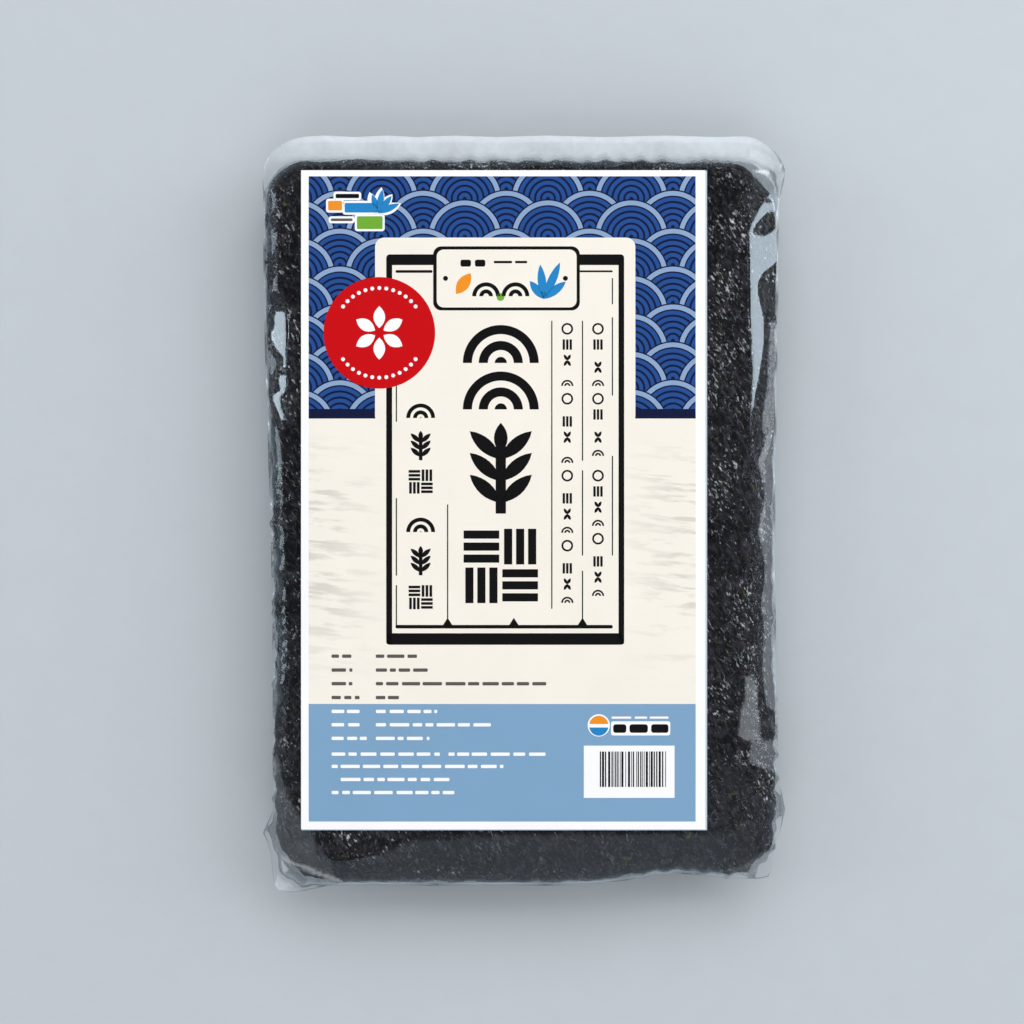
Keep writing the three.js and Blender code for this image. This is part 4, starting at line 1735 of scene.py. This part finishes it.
@dataclass
class Strands:
    """Curled scraps and strands of seaweed, scattered over a surface."""

    shine_at: Test
    kinds: int = 14
    bends: int = 3
    length: tuple[float, float] = (0.8, 3.8)
    width: tuple[float, float] = (0.35, 0.95)
    rise: float = 0.45
    heading: tuple[float, float, float] = (0.34, -1.0, 0.0)
    shape_seed: int = 21

    def template(self, rng: np.random.Generator) -> tuple[np.ndarray, np.ndarray]:
        """One curled strand of unit length along x.

        Args:
            rng: Source of its shape.

        Returns:
            Its vertices, and its faces as triangles.
        """
        bm = bmesh.new()
        start = bmesh.ops.create_circle(bm, segments=3, radius=0.5)["verts"]
        bmesh.ops.rotate(bm, verts=start, cent=(0, 0, 0), matrix=Matrix.Rotation(math.pi / 2, 3, "Y"))
        edges = list(bm.edges)
        for _ in range(self.bends):
            grown = bmesh.ops.extrude_edge_only(bm, edges=edges)["geom"]
            verts = [part for part in grown if isinstance(part, bmesh.types.BMVert)]
            edges = [part for part in grown if isinstance(part, bmesh.types.BMEdge)]
            bmesh.ops.translate(bm, verts=verts, vec=(1 / self.bends, 0, 0))
        curl, sway, twist = rng.uniform(-1.4, 1.4), rng.uniform(-0.5, 0.5), rng.uniform(-0.9, 0.9)
        hump, lean = rng.uniform(0.35, 1.0), rng.uniform(0.3, 0.7)
        for vert in bm.verts:
            t = min(max(vert.co.x, 0.0), 1.0)
            taper = max(0.04, math.sin(math.pi * min(max(t, 0.02), 0.98)) ** 0.6)
            angle = twist * (t - 0.5)
            across, up = vert.co.y * taper, vert.co.z * taper * 0.4
            y = across * math.cos(angle) - up * math.sin(angle)
            z = across * math.sin(angle) + up * math.cos(angle)
            bow = (t - 0.5) * curl * 0.35
            vert.co.y = y
            vert.co.z = z + hump * max(0.0, math.sin(math.pi * t ** (0.5 + lean)))
            vert.co.x = (t - 0.5) * math.cos(bow)
            vert.co.y += ((t - 0.5) ** 2 * curl + sway * math.sin(5 * t) * 0.12) * 3.0
        bmesh.ops.holes_fill(bm, edges=[e for e in bm.edges if e.is_boundary], sides=0)
        bmesh.ops.recalc_face_normals(bm, faces=bm.faces)
        bmesh.ops.triangulate(bm, faces=bm.faces)
        verts = np.array([v.co[:] for v in bm.verts])
        faces = np.array([[v.index for v in f.verts] for f in bm.faces])
        bm.free()
        return verts, faces

    def scatter(self, surface: np.ndarray, count: int, seed: int, keep: Test | None, spread: float) -> Batch:
        """Draws strands evenly over a surface of rings.

        Args:
            surface: Rings of the surface that carries them.
            count: How many strands.
            seed: Seed of the random draw.
            keep: A test of x and y that a strand's place has to pass, or None.
            spread: How far they turn from the usual heading, in radians.

        Returns:
            The strands.
        """
        rng = np.random.default_rng(seed)
        near, far = surface[:-1], surface[1:]
        across = far - near
        along = np.roll(near, -1, axis=1) - near
        normal = np.cross(across, along)
        area = np.linalg.norm(normal, axis=-1)
        if keep is not None:
            area = area * keep(near[..., 0], near[..., 1])
        pick = rng.choice(area.size, count, p=(area / area.sum()).ravel())
        a, b = rng.uniform(0, 1, (2, count, 1))
        across, along, normal = (part.reshape(-1, 3)[pick] for part in (across, along, normal))
        place = near.reshape(-1, 3)[pick] + a * across + b * along
        normal = normal / np.maximum(np.linalg.norm(normal, axis=1, keepdims=True), 1e-9)
        flow = np.array(self.heading)
        ahead = flow - normal * (normal @ flow)[:, None]
        ahead /= np.linalg.norm(ahead, axis=1, keepdims=True)
        turn = rng.normal(0, spread, (count, 1))
        forward = ahead * np.cos(turn) + np.cross(normal, ahead) * np.sin(turn)
        length = self.length[0] + (self.length[1] - self.length[0]) * rng.uniform(0, 1, count) ** 1.8
        width = rng.uniform(*self.width, count)
        rise = self.rise * rng.uniform(0.3, 1.0, count)
        return Batch(place, normal, forward, length, width, rise, rng.uniform(0, 1, count))

    def build(self, name: str, batch: Batch, finish: bpy.types.Material) -> None:
        """Joins a batch of strands into one piece.

        Args:
            name: The piece's name.
            batch: The strands.
            finish: Their material.
        """
        rng = np.random.default_rng(self.shape_seed)
        kinds = [self.template(rng) for _ in range(self.kinds)]
        side = np.cross(batch.normal, batch.forward)
        chosen = rng.integers(self.kinds, size=len(batch.place))
        all_verts, all_faces, first = [], [], 0
        for index, kind in enumerate(chosen):
            verts, faces = kinds[kind]
            spot = (
                batch.place[index]
                + verts[:, :1] * batch.forward[index] * batch.length[index]
                + verts[:, 1:2] * side[index] * batch.width[index]
                + verts[:, 2:] * batch.normal[index] * batch.rise[index]
            )
            all_verts.append(spot)
            all_faces.append(faces + first)
            first += len(verts)
        counts = [len(spot) for spot in all_verts]
        mesh = mesh_from_arrays(name, np.concatenate(all_verts), np.concatenate(all_faces))
        # Each strand's painted glints are dimmed under loose film.
        shine = self.shine_at(batch.place[:, 0], batch.place[:, 1])
        for mark, values in (("tone", batch.tone), ("shine", shine)):
            mesh.attributes.new(mark, "FLOAT", "POINT").data.foreach_set("value", np.repeat(values, counts))
        add_piece(mesh, finish, "film_bag")


def mesh_from_arrays(name: str, verts: np.ndarray, faces: np.ndarray) -> bpy.types.Mesh:
    """Makes a mesh of triangles.

    Args:
        name: The mesh's name.
        verts: Its vertices in millimetres.
        faces: Its triangles, as rows of three vertices' numbers.

    Returns:
        The mesh, in metres.
    """
    mesh = bpy.data.meshes.new(name)
    mesh.vertices.add(len(verts))
    mesh.vertices.foreach_set("co", ((verts + SHIFT) * MM).ravel())
    mesh.loops.add(faces.size)
    mesh.loops.foreach_set("vertex_index", faces.ravel())
    mesh.polygons.add(len(faces))
    mesh.polygons.foreach_set("loop_start", np.arange(0, faces.size, 3))
    mesh.update(calc_edges=True)
    mesh.validate()
    mesh.polygons.foreach_set("use_smooth", [True] * len(mesh.polygons))
    return mesh


# ---------------------------------------------------------------- the studio


@dataclass(frozen=True)
class Softbox:
    """A soft lamp that points at the pack. Places are in metres."""

    name: str
    place: tuple[float, float, float]
    width: float
    height: float
    power: float
    mirrored: bool = True


@dataclass(frozen=True)
class Studio:
    """A plain pale floor, soft lamps, and a camera that looks straight down on the label."""

    floor_colour: Colour = srgb(193, 201, 206)
    floor_darker: float = 0.94
    floor_size: float = 6.0
    floor_gap: float = 0.0002
    view_width: float = 0.3835
    camera_distance: float = 0.62
    camera_x: float = -4.5
    sensor: float = 36.0
    horizon: Colour = (0.62, 0.65, 0.68)
    overhead: Colour = (0.04, 0.04, 0.045)
    past_foot: Colour = (0.38, 0.39, 0.41)
    lamps: tuple[Softbox, ...] = (
        Softbox("lamp_right", (1.12, 0.3, 0.72), 0.75, 1.0, 7.0),
        Softbox("lamp_left", (-1.22, 0.16, 0.56), 0.6, 0.8, 4.4),
        Softbox("fill_above", (0.2, 1.5, 1.6), 2.6, 1.4, 30, mirrored=False),
        Softbox("fill_below", (0.0, -1.7, 1.5), 2.6, 1.4, 18, mirrored=False),
    )

    def build(self, face_height: float) -> None:
        """Sets up the floor, the lamps, the surroundings and the camera.

        Args:
            face_height: Height of the pack's face in metres.
        """
        self.build_floor()
        self.build_world()
        for lamp in self.lamps:
            self.build_lamp(lamp)
        self.build_camera(face_height)
        bpy.context.scene.view_settings.view_transform = "Standard"

    def build_floor(self) -> None:
        """Lays the floor a hair under the pack."""
        bm = bmesh.new()
        bmesh.ops.create_grid(bm, x_segments=1, y_segments=1, size=self.floor_size / 2)
        bmesh.ops.translate(bm, verts=bm.verts, vec=(0, 0, -self.floor_gap))
        mesh = bpy.data.meshes.new("floor")
        bm.to_mesh(mesh)
        bm.free()
        floor = bpy.data.objects.new("floor", mesh)
        bpy.context.scene.collection.objects.link(floor)
        material, w, shader = new_finish("floor")
        mottle = w.noise(w.place(), 60, detail=4, rough=0.7)
        darker = tuple(self.floor_darker * part for part in self.floor_colour)
        w.feed(shader.inputs["Base Color"], w.mix(mottle, darker, self.floor_colour))
        shader.inputs["Roughness"].default_value = 0.75
        mesh.materials.append(material)

    def build_world(self) -> None:
        """Surrounds the pack with light: dark overhead, pale at the horizon and past the pack's foot."""
        world = bpy.data.worlds.new("studio")
        bpy.context.scene.world = world
        world.use_nodes = True
        w = Wiring(world.node_tree)
        background = world.node_tree.nodes["Background"]
        split = w.node("SeparateXYZ")
        w.feed(split.inputs[0], w.node("TexCoord").outputs["Generated"])
        rise = w.span(split.outputs["Z"], 0.15, 0.85)
        foot = w.span(split.outputs["Y"], -0.1, -0.22)
        colour = w.mix(rise, self.horizon, self.overhead)
        w.feed(background.inputs["Color"], w.mix(foot, colour, self.past_foot))
        background.inputs["Strength"].default_value = 1.0

    def build_lamp(self, lamp: Softbox) -> None:
        """Adds a soft lamp.

        Args:
            lamp: Its place, size and power.
        """
        data = bpy.data.lights.new(lamp.name, "AREA")
        data.shape = "RECTANGLE"
        data.size, data.size_y = lamp.width, lamp.height
        data.energy = lamp.power
        made = bpy.data.objects.new(lamp.name, data)
        made.location = lamp.place
        made.visible_glossy = lamp.mirrored
        made.rotation_euler = (-Vector(lamp.place)).to_track_quat("-Z", "Y").to_euler()
        bpy.context.scene.collection.objects.link(made)

    def build_camera(self, face_height: float) -> None:
        """Puts the camera over the face, with the label's top at the top of the picture.

        Args:
            face_height: Height of the pack's face in metres.
        """
        data = bpy.data.cameras.new("camera")
        data.sensor_width = self.sensor
        data.lens = self.sensor * self.camera_distance / self.view_width
        camera = bpy.data.objects.new("camera", data)
        x, y = (self.camera_x + SHIFT[0]) * MM, SHIFT[1] * MM
        camera.location = (x, y, face_height + self.camera_distance)
        bpy.context.scene.collection.objects.link(camera)
        bpy.context.scene.camera = camera


# ---------------------------------------------------------------- the label


class Ink(Enum):
    """The inks of the label's raised print, each with its colour."""

    BLACK = srgb(12, 11, 13)
    CREAM = srgb(245, 239, 228)
    WHITE = srgb(250, 250, 252)
    RED = srgb(200, 3, 13)
    ORANGE = srgb(240, 146, 36)
    GREEN = srgb(112, 172, 54)
    SKY = srgb(36, 132, 196)
    GREY = srgb(92, 88, 84)


Point = tuple[float, float]


def round_corners(x0: float, y0: float, x1: float, y1: float, radius: float, steps: int = 6) -> list[Point]:
    """The outline of a rectangle with round corners.

    Args:
        x0: Its left side.
        y0: Its lower side.
        x1: Its right side.
        y1: Its upper side.
        radius: Radius of its corners.
        steps: Straight pieces in each corner.

    Returns:
        Its points, anticlockwise.
    """
    spots = []
    middle_x, middle_y = (x0 + x1) / 2, (y0 + y1) / 2
    out_x, out_y = (x1 - x0) / 2 - radius, (y1 - y0) / 2 - radius
    for quarter, (side_x, side_y) in enumerate(((1, 1), (-1, 1), (-1, -1), (1, -1))):
        for step in range(steps + 1):
            angle = math.pi / 2 * (quarter + step / steps)
            x = middle_x + side_x * out_x + radius * math.cos(angle)
            y = middle_y + side_y * out_y + radius * math.sin(angle)
            spots.append((x, y))
    return spots


def round_arc(x: float, y: float, radius: float, start: float, end: float, steps: int) -> list[Point]:
    """Points of an arc between two angles in degrees."""
    turns = (math.radians(start + (end - start) * step / steps) for step in range(steps + 1))
    return [(x + radius * math.cos(turn), y + radius * math.sin(turn)) for turn in turns]


@dataclass
class Artwork:
    """Flat shapes of ink on the label. Places are in millimetres from the label's middle."""

    form: PackForm
    height: float = 0.26
    step: float = 0.02
    cell: float = 7.0
    inks: dict[Ink, bmesh.types.BMesh] = field(default_factory=lambda: {ink: bmesh.new() for ink in Ink})
    rng: np.random.Generator = field(default_factory=lambda: np.random.default_rng(8))

    def cut(self, bm: bmesh.types.BMesh, verts: list[bmesh.types.BMVert]) -> None:
        """Cuts a large shape into cells, so that it can follow the face's dome.

        Args:
            bm: The ink's bmesh.
            verts: The shape's vertices.
        """
        for axis in (0, 1):
            low = min(vert.co[axis] for vert in verts)
            high = max(vert.co[axis] for vert in verts)
            normal = Vector((axis == 0, axis == 1, 0))
            for number in range(math.ceil(low / self.cell), math.floor(high / self.cell) + 1):
                faces = {face for vert in verts if vert.is_valid for face in vert.link_faces}
                edges = {edge for face in faces for edge in face.edges}
                corners = {vert for face in faces for vert in face.verts}
                made = bmesh.ops.bisect_plane(
                    bm,
                    geom=[*corners, *edges, *faces],
                    dist=1e-4,
                    plane_co=normal * number * self.cell,
                    plane_no=normal,
                )
                verts = [part for part in made["geom"] if isinstance(part, bmesh.types.BMVert)]

    def shape(self, ink: Ink, spots: list[Point], level: int = 1) -> None:
        """Adds a flat shape by its outline.

        Args:
            ink: Its ink.
            spots: Its corners, anticlockwise.
            level: Its place in the layers of print, from 1.
        """
        bm = self.inks[ink]
        verts = bmesh.ops.create_circle(bm, cap_ends=True, segments=len(spots), radius=1)["verts"]
        for vert, (x, y) in zip(verts, spots):
            vert.co = (x, y, level * self.step)
        self.cut(bm, verts)

    def bar(
        self, ink: Ink, x0: float, y0: float, x1: float, y1: float, radius: float = 0.0, level: int = 1
    ) -> None:
        """Adds a rectangle, with round corners where a radius is given."""
        square = [(x1, y1), (x0, y1), (x0, y0), (x1, y0)]
        self.shape(ink, round_corners(x0, y0, x1, y1, radius) if radius else square, level)

    def band(self, ink: Ink, outer: list[Point], inner: list[Point], level: int = 1) -> None:
        """Adds the strip between two lines of equally many points.

        Args:
            ink: Its ink.
            outer: The first line.
            inner: The second line.
            level: Its place in the layers of print.
        """
        bm = self.inks[ink]
        grid = bmesh.ops.create_grid(bm, x_segments=len(outer) - 1, y_segments=1, size=1)["verts"]
        for vert, (x, y) in zip(grid, [*outer, *inner]):
            vert.co = (x, y, level * self.step)
        self.cut(bm, grid)

    def arc(
        self, ink: Ink, x: float, y: float, outer: float, inner: float, ends: Point, level: int = 1
    ) -> None:
        """Adds a part of a ring.

        Args:
            ink: Its ink.
            x: Its middle along x.
            y: Its middle along y.
            outer: Its outer radius.
            inner: Its inner radius.
            ends: The angles in degrees where it starts and ends.
            level: Its place in the layers of print.
        """
        steps = max(8, round(outer * abs(ends[1] - ends[0]) / 45))
        lines = (round_arc(x, y, radius, *ends, steps) for radius in (outer, inner))
        self.band(ink, *lines, level)

    def disc(self, ink: Ink, x: float, y: float, radius: float, level: int = 1) -> None:
        """Adds a disc."""
        self.shape(ink, round_arc(x, y, radius, 0, 360, max(10, round(radius * 6)))[:-1], level)

    def petal(
        self, ink: Ink, x: float, y: float, length: float, width: float, turn: float, level: int = 1
    ) -> None:
        """Adds a pointed leaf.

        Args:
            ink: Its ink.
            x: Its foot along x.
            y: Its foot along y.
            length: Its length.
            width: Its width.
            turn: The way that it points, in degrees.
            level: Its place in the layers of print.
        """
        angle = math.radians(turn)
        ahead = (math.cos(angle), math.sin(angle))
        spots = []
        for side, steps in ((-1, range(0, 8)), (1, range(8, 0, -1))):
            for step in steps:
                along = length * step / 8
                aside = side * width / 2 * math.sin(math.pi * step / 8) ** 0.8
                reach = (x + along * ahead[0], y + along * ahead[1])
                spots.append((reach[0] - aside * ahead[1], reach[1] + aside * ahead[0]))
        self.shape(ink, spots, level)

    def fan(self, ink: Ink, x: float, y: float, radius: float, stroke: float, level: int = 1) -> None:
        """Adds nested half rings over a half disc: a single wave.

        Args:
            ink: Its ink.
            x: Its middle along x.
            y: Its foot along y.
            radius: Radius of its outer ring.
            stroke: Width of its rings.
            level: Its place in the layers of print.
        """
        outer = radius
        while outer > 1.6 * stroke:
            self.arc(ink, x, y, outer, outer - stroke, (0, 180), level)
            outer -= 1.75 * stroke
        self.shape(ink, round_arc(x, y, outer, 0, 180, 8), level)

    def sprig(self, ink: Ink, x: float, y: float, size: float, stroke: float, level: int = 1) -> None:
        """Adds a stem with pairs of leaves.

        Args:
            ink: Its ink.
            x: Its middle along x.
            y: Its middle along y.
            size: Its height.
            stroke: How thick its parts are.
            level: Its place in the layers of print.
        """
        low = y - size / 2
        self.bar(ink, x - stroke * 0.3, low, x + stroke * 0.3, low + 0.8 * size, level=level)
        for share in (0.12, 0.36, 0.6):
            for turn in (42, 138):
                self.petal(ink, x, low + share * size, 0.46 * size, stroke * 0.8, turn, level)
        self.petal(ink, x, low + 0.66 * size, 0.34 * size, stroke * 0.8, 90, level)

    def weave(self, ink: Ink, x: float, y: float, size: float, cells: int, level: int = 1) -> None:
        """Adds a square of woven strips.

        Args:
            ink: Its ink.
            x: Its middle along x.
            y: Its middle along y.
            size: Its width.
            cells: Cells along each side.
            level: Its place in the layers of print.
        """
        cell = size / cells
        for i in range(cells):
            for j in range(cells):
                cx = x + (i - (cells - 1) / 2) * cell
                cy = y + (j - (cells - 1) / 2) * cell
                for k in (-1, 0, 1):
                    long, thin, off = 0.46 * cell, 0.105 * cell, 0.31 * cell * k
                    if (i + j) % 2:
                        self.bar(ink, cx - long, cy + off - thin, cx + long, cy + off + thin, level=level)
                    else:
                        self.bar(ink, cx + off - thin, cy - long, cx + off + thin, cy + long, level=level)

    def words(self, ink: Ink, x0: float, x1: float, y: float, tall: float, level: int = 1) -> None:
        """Adds a row of plain dashes, in place of a line of small print.

        Args:
            ink: Its ink.
            x0: Where it starts.
            x1: Where it ends.
            y: Its middle along y.
            tall: Height of the dashes.
            level: Its place in the layers of print.
        """
        x = x0
        while x < x1 - 1:
            length = min(self.rng.uniform(2.2, 7.5), x1 - x)
            self.bar(ink, x, y - tall / 2, x + length, y + tall / 2, radius=0.3 * tall, level=level)
            x += length + self.rng.uniform(0.9, 1.5)

    def card(self) -> None:
        """The cream card and its black frame, with the thin rules inside it."""
        self.shape(Ink.CREAM, round_corners(-48.0, 28.0, 49.5, 98.2, 3.4), 1)
        black = Ink.BLACK
        bars = (
            (-43.8, 87.9, 45.3, 91.9, 1.3), (-43.8, -54.2, -41.6, 90.6, 0.9), (43.2, -54.2, 45.3, 90.6, 0.9),
            (-43.8, -54.3, 45.3, -50.0, 1.3), (-40.3, -48.2, 41.0, -46.9, 0.5),
            (-40.3, 85.0, -26.5, 86.0, 0.4), (28.5, 85.2, 41.0, 85.9, 0.3),
        )
        for bar in bars:
            self.bar(black, *bar, level=2)
        rules = (
            (-40.0, 43.0, 29.2), (-40.0, 0.6, -28.4), (-40.0, -32.0, -47.0), (-20.8, -1.8, -47.0),
            (18.2, 67.0, -40.8), (29.7, 67.0, 14.6), (29.7, 11.0, -20.9), (29.7, -26.6, -47.0),
            (40.9, 83.0, 73.2), (40.9, 68.3, 39.0), (40.9, 16.4, -20.9),
        )
        for x, top, low in rules:
            self.bar(black, x - 0.22, low, x + 0.22, top, level=2)
        for x in (-20.8, 4.0, 29.7):
            self.shape(black, [(x + 1.9, -47.2), (x, -44.2), (x - 1.9, -47.2)], 2)

    def plaque(self) -> None:
        """The plate across the frame's top, with pebbles of colour in place of a mark."""
        self.shape(Ink.BLACK, round_corners(-26.2, 70.9, 28.7, 94.9, 3.0), 3)
        self.shape(Ink.CREAM, round_corners(-24.9, 72.0, 27.5, 93.7, 2.6), 4)
        for x in (-21.6, 23.3):
            self.disc(Ink.BLACK, x, 82.9, 0.95, 5)
        self.words(Ink.BLACK, -16.0, -5.0, 88.6, 2.6, 5)
        self.words(Ink.BLACK, -3.5, 10.5, 89.0, 0.9, 5)
        self.petal(Ink.ORANGE, -17.6, 77.0, 9.5, 4.6, 55, 5)
        self.fan(Ink.BLACK, -6.4, 76.2, 5.2, 1.5, 5)
        self.fan(Ink.BLACK, 4.6, 76.2, 5.2, 1.5, 5)
        self.disc(Ink.GREEN, -1.0, 75.9, 1.5, 5)
        for turn, length in ((38, 10.5), (66, 15.0), (96, 13.0), (128, 8.5)):
            self.petal(Ink.SKY, 15.2, 75.2, length, 3.2, turn, 5)

    def seal(self) -> None:
        """The red disc, with a ring of dots and a rosette of leaves."""
        x, y, radius, dots, leaves = -46.4, 62.5, 20.9, 16.8, 1.8
        self.disc(Ink.RED, x, y, radius, 3)
        for turn in [*range(36, 150, 9), *range(216, 330, 9)]:
            angle = math.radians(turn)
            self.disc(Ink.WHITE, x + dots * math.cos(angle), y + dots * math.sin(angle), 0.75, 4)
        for turn in range(30, 390, 60):
            angle = math.radians(turn)
            foot = (x + leaves * math.cos(angle), y + leaves * math.sin(angle))
            self.petal(Ink.WHITE, *foot, 8.2, 4.4, turn, 4)

    def name(self) -> None:
        """Three bold motifs in a column, in place of a name: waves, a frond and a weave."""
        x = -0.9
        for y in (51.2, 33.8):
            self.fan(Ink.BLACK, x, y, 14.2, 3.4, 2)
        self.sprig(Ink.BLACK, x, 11.8, 34.0, 6.4, 2)
        self.weave(Ink.BLACK, x, -24.8, 29.0, 2, 2)

    def columns(self) -> None:
        """Smaller motifs in a column on the left, and two columns of small ones on the right."""
        x = -30.9
        for number, y in enumerate((33.6, 20.3, 6.8, -9.1, -22.8, -36.5)):
            if number % 3 == 0:
                self.fan(Ink.BLACK, x, y - 3.0, 5.4, 1.45, 2)
            elif number % 3 == 1:
                self.sprig(Ink.BLACK, x, y, 11.0, 2.2, 2)
            else:
                self.weave(Ink.BLACK, x, y, 9.4, 2, 2)
        top, step, gap = 64.0, 5.9, 2.6
        for x, gaps in ((24.0, (3, 5, 7, 9, 13)), (35.5, (2, 6, 8, 13))):
            y = top
            for number in range(16):
                self.small_mark(x, y, number)
                y -= step + (gap if number + 1 in gaps else 0)

    def small_mark(self, x: float, y: float, number: int) -> None:
        """Adds one small motif: a ring, a wave, a cross of leaves or a patch of weave.

        Args:
            x: Its middle along x.
            y: Its middle along y.
            number: Its place in its column, which picks the motif.
        """
        kind = (number * 7 + round(x)) % 4
        if kind == 0:
            self.arc(Ink.BLACK, x, y, 2.2, 1.5, (0, 360), 2)
        elif kind == 1:
            self.fan(Ink.BLACK, x, y - 1.1, 2.3, 0.65, 2)
        elif kind == 2:
            for turn in (60, 120, 240, 300):
                self.petal(Ink.BLACK, x, y, 2.5, 1.1, turn, 2)
        else:
            self.weave(Ink.BLACK, x, y, 4.2, 1, 2)

    def small_print(self) -> None:
        """Rows of dashes in place of the product's facts: dark on cream, then white on blue."""
        rows = (
            (-58.6, (-64.3, -56.5), (-47.7, -31.6)),
            (-63.8, (-64.3, -56.5), (-47.7, -26.6)),
            (-68.9, (-64.3, -56.5), (-47.7, 16.7)),
            (-74.1, (-64.3, -53.8), (-47.7, -36.9)),
            (-79.3, (-64.3, -53.8), (-47.7, -24.7)),
            (-84.3, (-64.3, -53.8), (-47.7, -4.6)),
            (-89.4, (-64.3, -51.1), (-47.7, -27.6)),
            (-95.3, (-64.3, -23.7), (-20.5, 17.7)),
            (-99.9, (-64.3, 0.1), None),
            (-104.8, (-60.9, -18.3), None),
            (-109.7, (-64.3, -18.3), None),
        )
        blue_top = -76.0
        for y, first, second in rows:
            ink = Ink.GREY if y > blue_top else Ink.WHITE
            for part in (first, second):
                if part:
                    self.words(ink, *part, y, 1.25, 2)

    def foot(self) -> None:
        """A plain two-coloured disc with dashes, and the box of bars."""
        x, y = 35.8, -84.5
        self.disc(Ink.WHITE, x, y, 4.2, 2)
        self.shape(Ink.ORANGE, round_arc(x, y, 3.6, 8, 172, 14), 3)
        self.shape(Ink.SKY, round_arc(x, y - 0.3, 3.6, 188, 352, 14), 3)
        self.bar(Ink.WHITE, 40.4, -88.3, 62.6, -83.0, radius=0.8, level=2)
        self.words(Ink.BLACK, 41.2, 61.9, -85.7, 3.2, 3)
        self.words(Ink.WHITE, 40.6, 62.0, -81.6, 0.8, 2)
        self.bar(Ink.WHITE, 30.2, -111.7, 64.2, -92.1, level=2)
        x, end = 36.2, 61.0
        while x < end:
            wide = float(self.rng.choice([0.28, 0.28, 0.5, 0.8]))
            self.bar(Ink.BLACK, x, -107.6, x + wide, -94.3, level=3)
            x += wide + float(self.rng.choice([0.3, 0.3, 0.45, 0.7]))

    def corner_mark(self) -> None:
        """A fan of blue leaves over bars of colour, all with white rims, at the upper left."""
        for turn, length in ((24, 8.6), (52, 8.2), (80, 9.0), (108, 7.4)):
            self.petal(Ink.WHITE, -47.4, 106.9, length + 1.4, 3.9, turn, 1)
            self.petal(Ink.SKY, -46.8, 107.4, length, 2.4, turn, 2)
        bars = (
            (Ink.ORANGE, -65.6, 108.4, -60.4, 112.0), (Ink.SKY, -59.4, 107.6, -47.0, 111.2),
            (Ink.GREEN, -54.8, 101.4, -45.2, 106.2), (Ink.BLACK, -62.8, 113.0, -54.0, 114.6),
            (Ink.GREY, -64.6, 104.4, -56.4, 105.4),
        )
        rim = 0.8
        for ink, x0, y0, x1, y1 in bars:
            self.bar(Ink.WHITE, x0 - rim, y0 - rim, x1 + rim, y1 + rim, radius=1.0, level=1)
            self.bar(ink, x0, y0, x1, y1, radius=0.5, level=2)

    def build(self, effects: Effects) -> None:
        """Draws everything and makes a piece of each ink.

        Args:
            effects: The shared node groups.
        """
        self.card()
        self.plaque()
        self.seal()
        self.name()
        self.columns()
        self.small_print()
        self.foot()
        self.corner_mark()
        for ink, bm in self.inks.items():
            thicken(bm, self.step)
            for vert in bm.verts:
                x, y = vert.co.x + LABEL_CENTRE[0], vert.co.y + LABEL_CENTRE[1]
                vert.co = (x, y, vert.co.z + self.height + float(self.form.face_height(x, y)))
            bmesh.ops.recalc_face_normals(bm, faces=bm.faces)
            name = "print_" + ink.name.lower()
            finish = InkFinish(name, ink.value).build(effects)
            add_piece(finish_mesh(bm, name, smooth=False), finish, "label")


@dataclass
class Label:
    """The paper label, and the slip of backing that shows along two of its edges."""

    form: PackForm
    thickness: float = 0.14
    lift: float = 0.12
    columns: int = 50
    rows: int = 80

    def sheet(self, name: str, grown: Point, moved: Point, thick: float, finish: bpy.types.Material) -> None:
        """Makes a sheet of paper on the face.

        Args:
            name: The piece's name.
            grown: How much wider and longer than the label it is.
            moved: How far it lies from the label's place.
            thick: Its thickness.
            finish: Its material.
        """
        bm = bmesh.new()
        bmesh.ops.create_grid(bm, x_segments=self.columns, y_segments=self.rows, size=1)
        half_x, half_y = LABEL_HALF[0] + grown[0] / 2, LABEL_HALF[1] + grown[1] / 2
        bmesh.ops.scale(bm, vec=(half_x, half_y, 1), verts=bm.verts)
        thicken(bm, -thick)
        for vert in bm.verts:
            x = vert.co.x + LABEL_CENTRE[0] + moved[0]
            y = vert.co.y + LABEL_CENTRE[1] + moved[1]
            vert.co = (x, y, abs(vert.co.z) + self.lift + float(self.form.face_height(x, y)))
        bmesh.ops.recalc_face_normals(bm, faces=bm.faces)
        add_piece(finish_mesh(bm, name, smooth=False), finish, "label")

    def build(self, effects: Effects) -> None:
        """Makes the paper and its print.

        Args:
            effects: The shared node groups.
        """
        self.sheet("label_paper", (0, 0), (0, 0), self.thickness, LabelPrint().build(effects))
        backing = InkFinish("label_backing", srgb(190, 205, 222)).build(effects)
        self.sheet("label_backing", (0.5, 0.2), (0.4, -0.25), 0.05, backing)
        Artwork(self.form).build(effects)


def main() -> None:
    """Builds the pack and its studio."""
    logging.basicConfig(level=logging.INFO, format="%(message)s")
    form = PackForm()
    effects = Effects()
    Studio().build(form.height * MM)
    FilmBag(form).build(FilmFinish().build())
    NoriStack(form).build(NoriFinish("nori").build(effects))
    Label(form).build(effects)


if __name__ == "__main__":
    main()
